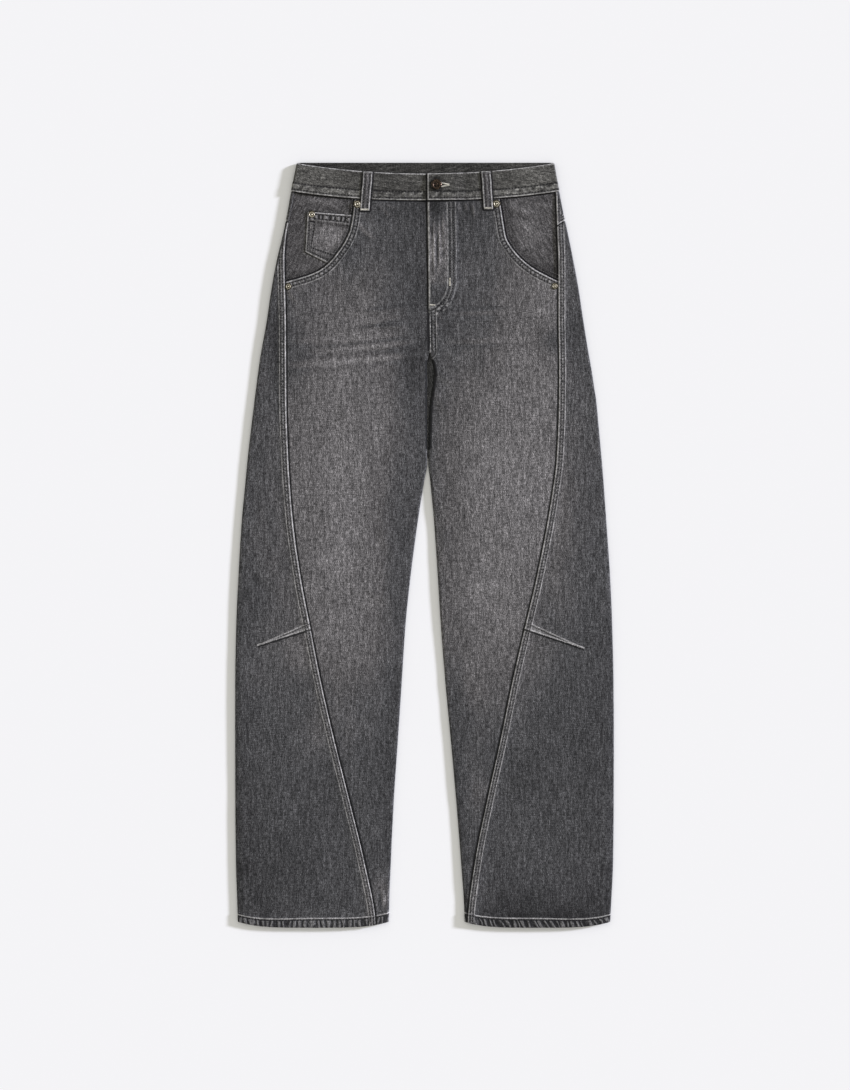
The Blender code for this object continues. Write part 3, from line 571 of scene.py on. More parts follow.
# %% [markdown]
# ## Worn seams
# Abrasion shows along every seam. The turned edge is rubbed pale, the needle holes stay dark, and between
# the rows of stitches the cloth puckers, so that pale bars and dark bars follow each other. One group draws
# this from two measures that each piece keeps at its points: EDGE, the distance from the finished edge,
# and RUN, the distance along it. Lines drawn from distances stay crisp, however coarse the mesh is.

# %% The worn seam group
SEAM_INPUTS = ("Edge", "Run", "Rope", "Pitch", "Rim", "Row", "Width", "Lift")
seam, seam_in, seam_out = group(
    "worn seam",
    [(name, FLOAT) for name in SEAM_INPUTS],
    [("Pale", FLOAT), ("Dark", FLOAT), ("Height", FLOAT)],
)
edge, run, rope, pitch, rim_width, first, width, lift = (seam_in.outputs[name] for name in SEAM_INPUTS)


def stripe(tree, value, half, soft):
    """1 where a distance is within half of zero, fading out over soft."""
    return ramp(tree, calc(tree, "ABSOLUTE", value), half, half + soft, 1.0, 0.0)


def dotted(tree, along, low):
    """A row of dots at the pitch of the stitches: between low and 1."""
    wave = calc(tree, "SINE", calc(tree, "MULTIPLY", along, 2 * math.pi / 4.2))
    return ramp(tree, wave, -0.6, 0.6, low, 1.0)


place_on_seam = pair(seam, run, edge)
ragged = noise(seam, place_on_seam, (3.0, 2.0, 1.0), detail=3.0)
patchy = noise(seam, place_on_seam, (7.0, 4.0, 1.0), detail=2.0)
ragged_edge = calc(seam, "ADD", edge, ramp(seam, ragged, 0.25, 0.75, -0.5, 0.5))
past_rim = calc(seam, "SUBTRACT", ragged_edge, rim_width)
rim = calc(
    seam, "MULTIPLY", ramp(seam, past_rim, -0.5, 0.5, 1.0, 0.0), ramp(seam, patchy, 0.3, 0.6, 0.45, 1.1)
)
past_row = calc(seam, "SUBTRACT", edge, first)
past_width = calc(seam, "SUBTRACT", edge, width)
zone = calc(
    seam, "MULTIPLY", ramp(seam, past_row, 0.2, 1.0, 0.0, 1.0), ramp(seam, past_width, -0.6, 0.8, 1.0, 0.0)
)
uneven = noise(seam, pair(seam, run, calc(seam, "MULTIPLY", edge, 0.25)), (12.0, 8.0, 1.0), detail=2.0)
turns = calc(seam, "ADD", calc(seam, "DIVIDE", run, pitch), calc(seam, "MULTIPLY", uneven, 2.6))
wave = calc(seam, "SINE", calc(seam, "MULTIPLY", turns, 2 * math.pi))
strength = calc(seam, "MULTIPLY", calc(seam, "MULTIPLY", zone, rope), ramp(seam, patchy, 0.3, 0.6, 0.55, 1.0))
dark_bar = calc(seam, "MULTIPLY", ramp(seam, wave, 0.0, 0.7, 0.0, 1.0), strength, clamp=True)
pale_bar = calc(seam, "MULTIPLY", ramp(seam, wave, -0.8, 0.0, 0.42, 0.0), strength)
lift = calc(seam, "MULTIPLY", lift, ramp(seam, rope, 0.02, 0.1, 0.0, 1.0))
mottled = calc(seam, "MULTIPLY", calc(seam, "MULTIPLY", zone, lift), ramp(seam, ragged, 0.35, 0.65, 0.2, 1.0))
far_rim = calc(seam, "MULTIPLY", stripe(seam, calc(seam, "SUBTRACT", past_width, 2.1), 0.3, 0.7), lift)
far_rim = calc(seam, "MULTIPLY", far_rim, ramp(seam, patchy, 0.35, 0.6, 0.5, 1.4))
rows = calc(seam, "MAXIMUM", stripe(seam, past_row, 0.85, 0.6), stripe(seam, past_width, 0.85, 0.6))
rows = calc(seam, "MULTIPLY", rows, ramp(seam, rope, 0.02, 0.1, 0.0, 1.0))
dark = calc(seam, "MAXIMUM", dark_bar, calc(seam, "MULTIPLY", rows, dotted(seam, run, 0.5)))
pale = calc(seam, "MAXIMUM", calc(seam, "MAXIMUM", rim, pale_bar), calc(seam, "MAXIMUM", mottled, far_rim))
seam.links.new(pale, seam_out.inputs["Pale"])
seam.links.new(dark, seam_out.inputs["Dark"])
puckers = calc(seam, "MULTIPLY", calc(seam, "MULTIPLY", wave, strength), -0.3)
seam.links.new(calc(seam, "SUBTRACT", puckers, calc(seam, "MULTIPLY", rows, 0.2)), seam_out.inputs["Height"])
print("worn seam nodes:", len(seam.nodes))

# %% One denim material for each way that a piece is finished
UV_MM = 1000.0
HEM_LINE = 13.4


def attribute(tree, name):
    """A number that the piece keeps at its points."""
    return node(tree, "ShaderNodeAttribute", attribute_name=name).outputs["Fac"]


def dart_wear(tree, tip_out, tip_down, slope, length):
    """Pale and dark lines of a knee dart, drawn from its tip: (pale, dark). The dark holds a stitch row and a
    painted shadow below the lower fold.
    """
    where = node(tree, "ShaderNodeTexCoord").outputs["Object"]
    where = node(tree, "ShaderNodeSeparateXYZ", {"Vector": where})
    x_mm = calc(tree, "MULTIPLY", calc(tree, "ABSOLUTE", where.outputs[0]), UV_MM)
    from_out = calc(tree, "SUBTRACT", tip_out, x_mm)
    y_mm = calc(tree, "MULTIPLY", where.outputs[1], UV_MM)
    from_down = calc(tree, "ADD", y_mm, tip_down - LENGTH / 2)
    cosine, sine = math.cos(slope), math.sin(slope)
    along = calc(
        tree, "ADD", calc(tree, "MULTIPLY", from_out, cosine), calc(tree, "MULTIPLY", from_down, sine)
    )
    above = calc(
        tree, "SUBTRACT", calc(tree, "MULTIPLY", from_down, cosine), calc(tree, "MULTIPLY", from_out, sine)
    )
    wobble = noise(tree, pair(tree, along, above), (5.0, 3.0, 1.0), detail=2.0)
    above = calc(tree, "ADD", above, ramp(tree, wobble, 0.3, 0.7, -0.35, 0.35))
    from_upper = calc(tree, "SUBTRACT", above, calc(tree, "MULTIPLY", along, 0.11))
    on_dart = calc(
        tree, "MULTIPLY", ramp(tree, along, -0.8, 0.4, 0.0, 1.0),
        ramp(tree, along, length, length + 1, 1.0, 0.0)
    )
    z_mm = calc(tree, "MULTIPLY", where.outputs[2], UV_MM)
    on_dart = calc(tree, "MULTIPLY", on_dart, ramp(tree, z_mm, 2.6, 3.2, 0.0, 1.0))
    low_line = calc(tree, "MULTIPLY", stripe(tree, calc(tree, "SUBTRACT", above, 0.6), 0.7, 0.6), 1.0)
    high_line = calc(
        tree, "MULTIPLY", stripe(tree, from_upper, 0.5, 0.6), ramp(tree, wobble, 0.35, 0.6, 0.4, 1.0)
    )
    # painted shadow: a dark line just below the dart's lower fold
    shade = stripe(tree, calc(tree, "ADD", above, 1.6), 1.0, 0.6)
    row = stripe(tree, calc(tree, "ADD", from_upper, 2.0), 0.5, 0.6)
    row = calc(
        tree, "MULTIPLY", calc(tree, "MULTIPLY", row, dotted(tree, along, 0.4)),
        ramp(tree, along, 22.0, 32.0, 0.0, 0.9)
    )
    inside = calc(
        tree, "MULTIPLY", ramp(tree, above, 0.0, 1.0, 0.0, 1.0), ramp(tree, from_upper, -0.5, 0.5, 1.0, 0.0)
    )
    inside = calc(tree, "MULTIPLY", inside, ramp(tree, along, 50.0, 80.0, 0.14, 0.40))
    lines = calc(tree, "MAXIMUM", calc(tree, "MAXIMUM", low_line, high_line), inside)
    return calc(tree, "MULTIPLY", lines, on_dart), calc(
        tree, "MULTIPLY", calc(tree, "MAXIMUM", shade, row), on_dart
    )


def fly_wear(tree):
    """Pale and dark lines of the fly's J, from each point's distance inside its outer line: (pale, dark)."""
    inside = attribute(tree, "fly")
    where = node(tree, "ShaderNodeTexCoord").outputs["Object"]
    where = node(tree, "ShaderNodeVectorMath", {0: where, 1: (UV_MM,) * 3}, operation="MULTIPLY").outputs[0]
    patchy = ramp(tree, noise(tree, where, (3.0, 5.0, 5.0)), 0.3, 0.65, 0.15, 1.0)
    down_it = node(tree, "ShaderNodeSeparateXYZ", {"Vector": where}).outputs[1]
    rims, rows = calc(tree, "MULTIPLY", stripe(tree, inside, 0.5, 0.8), 0.6), None
    for far, half, strength in ((6.0, 0.4, 0.8), (11.6, 0.5, 1.0)):
        line = stripe(tree, calc(tree, "SUBTRACT", inside, far), half, 0.8)
        rims = calc(tree, "MAXIMUM", rims, calc(tree, "MULTIPLY", line, strength))
    for far in (3.7, 8.3):
        line = stripe(tree, calc(tree, "SUBTRACT", inside, far), 0.7, 0.6)
        rows = line if rows is None else calc(tree, "MAXIMUM", rows, line)
    rims = calc(tree, "MULTIPLY", calc(tree, "MULTIPLY", rims, patchy), 0.6)
    rows = calc(tree, "MULTIPLY", rows, dotted(tree, down_it, 0.45))
    bunched = calc(
        tree, "MULTIPLY", ramp(tree, inside, -1.5, 0.5, 0.0, 1.0), ramp(tree, inside, 12.0, 13.0, 1.0, 0.0)
    )
    bunched = calc(tree, "MULTIPLY", bunched, ramp(tree, down_it, 337.0, 347.0, 1.0, 0.0))
    specks = noise(tree, where, (3.6, 4.0, 4.0), detail=2.0, roughness=0.6)
    dark_specks = calc(tree, "MULTIPLY", ramp(tree, specks, 0.5, 0.56, 0.0, 0.9), bunched)
    pale_specks = calc(tree, "MULTIPLY", ramp(tree, specks, 0.42, 0.47, 0.6, 0.0), bunched)
    return calc(tree, "MAXIMUM", rims, pale_specks), calc(tree, "MAXIMUM", rows, dark_specks)


COOL, PLAIN, WARM = (0.995, 0.990, 1.025, 1.0), (0.979, 0.936, 0.940, 1.0), (0.915, 0.893, 0.830, 1.0)


def denim(name, pitch=5.4, rim=1.5, row=2.9, width=8.0, lift=0.0, dart=None, fly=False, tints=(PLAIN, PLAIN)):
    """Washed denim. pitch is the puckers', row and width are the stitch rows' distances from the edge."""
    material = bpy.data.materials.new(name)
    material.use_nodes = True
    tree = material.node_tree
    shader = tree.nodes["Principled BSDF"]
    flat = node(tree, "ShaderNodeUVMap", uv_map="cloth").outputs["UV"]
    cloth_mm = node(tree, "ShaderNodeVectorMath", {0: flat, 1: (UV_MM,) * 3}, operation="MULTIPLY").outputs[0]
    threads = node(tree, "ShaderNodeGroup", node_tree=weave)
    tree.links.new(cloth_mm, threads.inputs["Cloth"])
    worn = node(tree, "ShaderNodeGroup", node_tree=seam)
    for socket, field in (("Edge", "edge"), ("Run", "run"), ("Rope", "rope")):
        tree.links.new(attribute(tree, field), worn.inputs[socket])
    for socket, value in (("Pitch", pitch), ("Rim", rim), ("Row", row), ("Width", width), ("Lift", lift)):
        worn.inputs[socket].default_value = value
    hem_up = attribute(tree, "hem")
    along = node(tree, "ShaderNodeTexCoord").outputs["Object"]
    along = node(tree, "ShaderNodeSeparateXYZ", {"Vector": along}).outputs[0]
    hem = node(tree, "ShaderNodeGroup", node_tree=seam)
    tree.links.new(calc(tree, "SUBTRACT", HEM_LINE, hem_up), hem.inputs["Edge"])
    along = calc(
        tree, "ADD", calc(tree, "MULTIPLY", along, UV_MM),
        calc(tree, "MULTIPLY", hem_up, ramp(tree, along, 0.0, 0.01, 0.0, 0.45))
    )
    tree.links.new(along, hem.inputs["Run"])
    for socket, value in (
        ("Rope", 0.85), ("Pitch", 7.6), ("Rim", 1.5), ("Row", 2.5), ("Width", 18.0), ("Lift", 0.0)
    ):
        hem.inputs[socket].default_value = value
    hem_zone = ramp(tree, hem_up, HEM_LINE, HEM_LINE + 0.6, 1.0, 0.0)
    shade_gap = attribute(tree, "shade_gap")
    pale = calc(tree, "MAXIMUM", worn.outputs["Pale"], calc(tree, "MULTIPLY", hem.outputs["Pale"], hem_zone))
    dark = calc(tree, "MAXIMUM", worn.outputs["Dark"], calc(tree, "MULTIPLY", hem.outputs["Dark"], hem_zone))
    # painted shade: a dark line near where one piece lies over or beside another, from each point's distance
    # to that edge
    dark = calc(tree, "MAXIMUM", dark, ramp(tree, shade_gap, 1.8, 3.4, 1.0, 0.0))
    extra = dart_wear(tree, *dart) if dart else fly_wear(tree) if fly else None
    if extra:
        pale = calc(tree, "MAXIMUM", pale, extra[0])
        dark = calc(tree, "MAXIMUM", dark, extra[1])
    fleck = threads.outputs["Fleck"]
    tone = attribute(tree, "tone")
    value = calc(tree, "MULTIPLY", tone, fleck)
    tint = node(tree, "ShaderNodeMix", {"Factor": ramp(tree, tone, 0.06, 0.105, 0.0, 1.0)}, data_type="RGBA")
    tint.inputs["A"].default_value, tint.inputs["B"].default_value = tints
    base = node(tree, "ShaderNodeVectorMath", {0: tint.outputs["Result"]}, operation="SCALE")
    tree.links.new(value, base.inputs["Scale"])
    rubbed = node(tree, "ShaderNodeVectorMath", {0: (0.42, 0.41, 0.405)}, operation="SCALE")
    tree.links.new(ramp(tree, fleck, 0.4, 1.8, 0.65, 1.3), rubbed.inputs["Scale"])
    paler = node(
        tree, "ShaderNodeMix", {"Factor": calc(tree, "MULTIPLY", pale, 0.9, clamp=True)}, data_type="RGBA"
    )
    tree.links.new(base.outputs["Vector"], paler.inputs["A"])
    tree.links.new(rubbed.outputs["Vector"], paler.inputs["B"])
    darker = node(
        tree, "ShaderNodeMix", {"Factor": calc(tree, "MULTIPLY", dark, 0.9, clamp=True)}, data_type="RGBA"
    )
    tree.links.new(paler.outputs["Result"], darker.inputs["A"])
    darker.inputs["B"].default_value = (0.010, 0.010, 0.011, 1.0)
    tree.links.new(darker.outputs["Result"], shader.inputs["Base Color"])
    bump_mm = calc(
        tree, "ADD", worn.outputs["Height"], calc(tree, "MULTIPLY", hem.outputs["Height"], hem_zone)
    )
    bump_mm = calc(tree, "ADD", bump_mm, calc(tree, "MULTIPLY", threads.outputs["Height"], 0.6))
    bump = node(tree, "ShaderNodeBump", {"Height": bump_mm, "Strength": 1.0, "Distance": MM})
    tree.links.new(bump.outputs["Normal"], shader.inputs["Normal"])
    shader.inputs["Roughness"].default_value = 0.93
    shader.inputs["Specular IOR Level"].default_value = 0.18
    return material


DARTS = {RIGHT: (231.3, 669.3, math.radians(17.6), 84.0), LEFT: (221.3, 673.3, math.radians(18.4), 95.0)}
DENIM_FRONT = {
    side: denim(
        f"denim {SIDE_NAMES[side]} front", rim=2.0, row=3.3, lift=0.42, fly=side == LEFT, tints=(COOL, PLAIN)
    )
    for side in SIDES
}
DENIM_BACK = {
    side: denim(
        f"denim {SIDE_NAMES[side]} back", 6.2, 1.8, 3.1, 6.8, lift=0.6, dart=DARTS[side], tints=(COOL, PLAIN)
    )
    for side in SIDES
}
DENIM_BAND = denim("denim waistband", pitch=11.0, row=2.8, width=11.5, tints=(WARM, WARM))
DENIM_SMALL = denim("denim small pieces", pitch=6.4, row=2.8, width=8.6, lift=0.12)
DENIM_LOOP = denim("denim loops", pitch=5.0, rim=1.4, row=3.2, width=3.2)
print("materials:", len(bpy.data.materials))

# %% [markdown]
# ## Making a piece of cloth
# Each piece is an open grid of its outer face, given a wall by a Solidify modifier. The grid comes from
# arrays, so thousands of points take no loop. Each point keeps its tone and its distances from the seams,
# and a map named cloth keeps where it lay before sewing, in metres.

# %% Build a piece from a grid
# a distance in mm that stands for: nothing is near
FAR = 99.0
FIELD_DEFAULTS = {"tone": 0.1, "edge": FAR, "run": 0.0, "rope": 0.0, "shade_gap": FAR, "hem": FAR, "fly": FAR}
made_pieces = {}


def grid_mesh(name, points, turned):
    """A mesh of quads from rows and columns of points in millimetres. turned makes it face the other way."""
    rows, columns, _ = points.shape
    index = np.arange(rows * columns).reshape(rows, columns)
    quads = np.stack([index[:-1, :-1], index[:-1, 1:], index[1:, 1:], index[1:, :-1]], axis=-1).reshape(-1, 4)
    if turned:
        quads = quads[:, ::-1]
    return plain_mesh(name, points.reshape(-1, 3), quads), quads


def plain_mesh(name, points, quads):
    """A mesh from points in millimetres and an array of quads."""
    mesh = bpy.data.meshes.new(name)
    mesh.vertices.add(len(points))
    mesh.vertices.foreach_set("co", (points * MM).astype(np.float32).ravel())
    mesh.loops.add(quads.size)
    mesh.polygons.add(len(quads))
    mesh.loops.foreach_set("vertex_index", quads.astype(np.int32).ravel())
    mesh.polygons.foreach_set("loop_start", np.arange(0, quads.size, 4, dtype=np.int32))
    mesh.polygons.foreach_set("use_smooth", np.ones(len(quads), bool))
    mesh.update(calc_edges=True)
    return mesh


def cloth_piece(name, points, flat, fields, material, wall, turned, flipped_rest=()):
    """A cloth piece for the solid of the same name. flat is where its points lay before sewing."""
    mesh, quads = grid_mesh(name, points, turned)
    for field, default in FIELD_DEFAULTS.items():
        values = np.broadcast_to(fields.get(field, default), points.shape[:2]).astype(np.float32)
        mesh.attributes.new(field, "FLOAT", "POINT").data.foreach_set("value", values.ravel())
    layer = mesh.uv_layers.new(name="cloth")
    corners = (flat.reshape(-1, 2)[quads.ravel()] / UV_MM).astype(np.float32)
    layer.data.foreach_set("uv", corners.ravel())
    piece = bpy.data.objects.new(name + "_cloth", mesh)
    bpy.context.scene.collection.objects.link(piece)
    mesh.materials.append(material)
    solidify = piece.modifiers.new("wall", "SOLIDIFY")
    solidify.thickness = wall * MM
    solidify.offset = -1
    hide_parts(name)
    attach(piece, "root")
    down_side = points[1:, :-1] - points[:-1, :-1]
    across_side = points[:-1, 1:] - points[:-1, :-1]
    area = np.linalg.norm(np.cross(down_side, across_side), axis=-1).sum() * MM * MM
    made_pieces[name] = (piece, area)
    print(f"{name}: {len(quads)} quads, {area:.4f} square metres")
    return piece


def placed(x, down, up):
    """Points in millimetres in the frame, from x, distance down and height."""
    x, down, up = np.broadcast_arrays(x, down, up)
    return np.stack([x, LENGTH / 2 - down, up], axis=-1)


def spread(width, outer_zone, inner_zone, middle):
    """Distances from the outer end, for each row: close together at both ends, even between them."""
    first = np.minimum(1, 0.4 * width / outer_zone[-1])[:, None] * outer_zone
    last = width[:, None] - np.minimum(1, 0.4 * width / inner_zone[0])[:, None] * inner_zone
    steps = np.linspace(0, 1, middle + 2)[1:-1]
    between = first[:, -1:] + (last[:, :1] - first[:, -1:]) * steps
    return np.concatenate([first, between, last], axis=1)


def flat_along(points, start):
    """Cloth coordinates of rows: the real length across each row from its start, and the distance down."""
    steps = np.linalg.norm(np.diff(points, axis=1), axis=-1)
    across = start[:, None] + np.concatenate([np.zeros((len(points), 1)), np.cumsum(steps, axis=1)], axis=1)
    return np.stack([across, points[..., 1]], axis=-1)


# %% [markdown]
# ## The front legs
# Each front is cut with a scooped pocket opening and a long curved outseam. The wearer's left front also
# carries the fly, and lies over the right one. A ruled surface suits this shape: each row runs straight
# from the outer boundary to the middle or the inseam. The edge under the waistband and the one under the
# side seam dip and tuck beneath their neighbours, so nothing shows between them and the seam throws its own
# shadow. A painted shade line makes that shadow darker, and painted shade also lines the loops, the fly's
# edge and the inner edges where the thighs touch.

# %% Front legs
HEM_ROWS = LENGTH - np.array(
    [19, 17.5, 16, 15.1, 14.3, 13.6, 12.9, 12, 10.4, 8.4, 6.4, 4.4, 2.6, 1.3, 0.6, 0]
)
TUCK = 2.6
BAND_TUCK = 3.0
OUTER_ZONE = np.array([0, 0.7, 1.4, 2.1, 2.8, 3.6, 4.6, 5.8, 7.0, 8.4, 10, 12, 14.5, 18])
CURL_STEPS = 6


def front_height(side, out, down, level):
    """Height of a front's outer face. level is the distance down before the hem's bow."""
    x = side * out
    up = top_height(side, out, level) + fly_lift(side, out, down) + front_relief(x, down)
    under_band = down - band_bottom(np.abs(out))
    up -= 1.35 * (1 - ease(0.1, 2.6, under_band))
    from_seam = out - SIDES[side].at("seam", down)
    below = ease(OPENING_END[side] - 2, OPENING_END[side] + 1, down)
    up -= 0.55 * ease(-1.7, 0.3, from_seam) * below
    edge, _ = OPENING_LINES[side].near(x, down)
    up += 0.3 * (1 - ease(9.0, 10.6, edge)) - 0.35 * (1 - ease(0, 0.7, edge))
    if side == LEFT:
        fly, _ = FLY_LINE.near(x, down)
        up -= 0.35 * (1 - ease(0, 0.8, fly))
    return up


def loop_shade(x, down):
    """Distance from the front loops' outlines, for a painted shade line where they lie on the cloth."""
    shade_gap = np.full(np.broadcast(x, down).shape, FAR)
    for side, (start, end) in FRONT_LOOPS.items():
        middle = start + (end - start) * (down - 15.0) / (FRONT_LOOP_END[side] - 15.0)
        beside = np.abs(x - middle) - LOOP_WIDTH / 2
        shade_gap = np.minimum(shade_gap, np.maximum(beside, down - FRONT_LOOP_END[side]))
    return np.maximum(shade_gap, -1.0)


def fly_row(reach):
    """A J: straight down beside the fly, then round to the middle edge."""
    turn = np.linspace(0, math.pi / 2, 40)
    straight = np.linspace(46.0, 164.0, 60)
    x = np.concatenate([np.full(60, reach), 6.0 + (reach - 6.0) * np.cos(turn)])
    down = np.concatenate([straight, 164.0 + (reach + 8.5) * np.sin(turn) * 0.93])
    return Line(x - 1.2 * ease(54, 120, 174 - down), down)


FLY_CURVE = fly_row(44.0)


def fly_inside(x, down):
    """Distance inside the fly's outer line, and less than zero outside it."""
    distance, _ = FLY_CURVE.near(x, down)
    limit = np.interp(down, FLY_CURVE.down, FLY_CURVE.x)
    return np.where((x < limit) & (down < FLY_CURVE.down.max()), distance, -distance)


def front_leg(side):
    """One front leg."""
    sections = SIDES[side]
    line = opening_line(side, TUCK)
    run_rows = np.concatenate([[-BAND_TUCK, -1.5, 0, 0.8, 1.6, 2.6, 3.8], np.arange(6, line.run[-1], 2.4)])
    outer_down = np.interp(run_rows, line.run, line.down) + np.minimum(run_rows, 0)
    outer_out = side * np.interp(run_rows, line.run, line.x)
    inner_start = float(band_bottom(4.0))
    inner_down = inner_start + run_rows
    legs = np.concatenate([np.arange(OPENING_END[side] + 2.4, HEM_ROWS[0] - 1, 2.75), HEM_ROWS])
    offset = inner_start + line.run[-1] - OPENING_END[side]
    outer_down = np.concatenate([outer_down, legs])
    outer_out = np.concatenate([outer_out, sections.at("seam", legs) + TUCK])
    inner_down = np.concatenate([inner_down, legs + offset * (1 - ease(OPENING_END[side], 430, legs))])
    inner = sections.at("inner", inner_down)
    if side == RIGHT:
        below_fly = -SIDES[LEFT].at("inner", inner_down) - 6.0 * (
            1 - ease(CROTCH - 50, CROTCH - 10, inner_down)
        )
        blend = ease(CROTCH - 16, CROTCH + 4, inner_down)
        inner = below_fly * (1 - blend) + inner * blend
    drop = ease(CROTCH - 16, CROTCH + 12, inner_down) * math.pi / 2
    crown = PUFF.at("edge", inner_down) - CAD_WALL - SEAM_GAP
    turned_in = np.sin(drop)
    flat_inner = inner + (1 - turned_in) * 8.0 + turned_in * crown
    near_inner = np.concatenate([np.arange(50, 4, -1.4), [3.0, 1.6, 0.0]])
    if side == RIGHT:
        near_inner = np.array([16, 12.5, 9.5, 7, 5, 3.2, 1.6, 0.0])
    distance = spread(outer_out - flat_inner, OUTER_ZONE, near_inner, 52 if side == LEFT else 66)
    angles = drop[:, None] * np.arange(1, CURL_STEPS + 1) / CURL_STEPS
    steps = np.arange(1, CURL_STEPS + 1) / CURL_STEPS
    curl = inner[:, None] + (1 - turned_in)[:, None] * 8.0 * (1 - steps)
    curl = curl + (turned_in * crown)[:, None] * (1 - np.sin(angles))
    out = np.concatenate([outer_out[:, None] - distance, curl], axis=1)
    share = (outer_out[:, None] - out) / (outer_out - inner)[:, None]
    level = outer_down[:, None] + (inner_down - outer_down)[:, None] * share
    straight = band_bottom(outer_out)[:, None] * (1 - share) + band_bottom(4.0) * share
    from_top = np.concatenate([run_rows, np.full(len(legs), 999.0)])[:, None]
    level = level + (band_bottom(np.abs(out)) - straight) * (1 - ease(0, 60, from_top))
    down = level - hem_bow(leg_share(side, out, level), level)
    up = front_height(side, out, down, level)
    edge_up = CAD_WALL + SEAM_GAP
    curled = up[:, -CURL_STEPS:]
    up[:, -CURL_STEPS:] = curled - (curled - edge_up) * (1 - np.cos(angles))
    x = side * out
    up[-1] -= 0.35
    edge, run = OPENING_LINES[side].near(x, down)
    rope = np.where(edge < 30, 0.85, 0.0)
    edge = edge + 0.3
    if side == LEFT:
        fly, fly_run = FLY_LINE.near(x, down)
        fly = fly - 0.3
        rope = np.where(fly < edge, 0.5 * ease(204, 214, down), rope)
        edge, run = np.minimum(edge, fly), np.where(fly < edge, fly_run, run)
    # painted shade: a dark line beside the outseam, under the waistband, left of the fly's edge and beside
    # the loops
    shade_gap = sections.at("seam", down) - out - 0.7 * ease(620, 850, down)
    shade_gap = np.where(down > OPENING_END[side] - 1, np.maximum(shade_gap, -1.0), FAR)
    shade_gap = np.minimum(shade_gap, np.maximum(down - band_bottom(np.abs(out)), -1.0))
    if side == RIGHT:
        from_fly = np.where(down < 262, SIDES[LEFT].at("inner", down) - x, FAR)
        shade_gap = np.minimum(shade_gap, np.maximum(from_fly, -1.0))
    shade_gap = np.minimum(shade_gap, loop_shade(x, down))
    # painted shade along the inner edge where the thighs touch
    thighs_touch = ease(264, 274, down) * (1 - ease(396, 416, down))
    from_inner = out - sections.at("inner", down) - {RIGHT: 0.0, LEFT: 2.2}[side]
    shade_gap = np.minimum(shade_gap, np.maximum(from_inner, -1.0) + FAR * (1 - thighs_touch))
    fields = {"edge": edge, "run": run, "rope": rope, "shade_gap": shade_gap, "hem": LENGTH - level}
    tone = leg_tone(side, out, down)
    if side == LEFT:
        fields["fly"] = fly_inside(x, down)
        rubbed = ease(11.0, 13.0, fields["fly"]) * ease(66, 96, down) * (1 - ease(160, 176, down))
        tone = tone + rubbed * (22 + 16 * hills(x, down * 0.3, 3.2, 34))
        beside = hump(fly - 4.2, 2.0) * ease(96, 124, down) * (1 - ease(158, 168, down))
        tone = tone + 26 * beside
    fields["tone"] = brightness(tone)
    flat = np.stack([x, -down], axis=-1)
    name = "front_" + SIDE_NAMES[side]
    return cloth_piece(name, placed(x, down, up), flat, fields, DENIM_FRONT[side], WALL, side == RIGHT)


for this_side in SIDES:
    front_leg(this_side)

# %% [markdown]
# ## The back legs and the yokes
# Each back comes round the outer fold onto the front, where its edge is folded under and stitched down
# twice. That felled strip is thicker than the rest. A dart at the knee takes up cloth, which gives the
# barrel leg its shape. Each row of the grid starts at the outseam, runs out to the fold, turns, and comes
# back along the table to the middle. Rows bend upwards at the knee, to follow the dart.

# %% Sections round the back
STRIP_ZONE = np.array([0, 0.5, 1.1, 1.8, 2.5, 3.4, 4.6, 5.8, 7.0, 8.0, 9.0])
FOLD_STEPS = 11
STRIP_STEPS = 17
UNDER_STEPS = 34


def dart_shift(down, along):
    """How far a row bends up towards the outseam, so that the rows at the knee follow the dart."""
    near = ease(DART_DOWN - 88, DART_DOWN - 8, down) * (1 - ease(DART_DOWN + 8, DART_DOWN + 88, down))
    return -DART_RISE * np.clip(1 - along / DART_REACH, 0, 1) * near


def strip_lift(side, from_seam, x, down):
    """The felled strip and the dart stand proud of the leg."""
    widest = SIDES[side].at("outer", down) - SIDES[side].at("seam", down)
    full = SEAM_LIFT * np.minimum(1.0, widest / SEAM_WELT / 1.5)
    welt = np.minimum(SEAM_WELT, 0.4 * widest)
    lift = full * (1 - ease(0.7 * welt, 1.6 * welt, from_seam)) - 0.3 * (1 - ease(0, 0.8, from_seam))
    upper, _ = DART_LINES[side][0].near(x, down)
    lower, _ = DART_LINES[side][1].near(x, down)
    ridge = 0.3 * hump(upper, 1.6) + 0.4 * hump(lower, 1.8)
    return lift + ridge


# half the distance in mm between the two backs' flat edges at the seat
MIDDLE_SEAM = 4.5


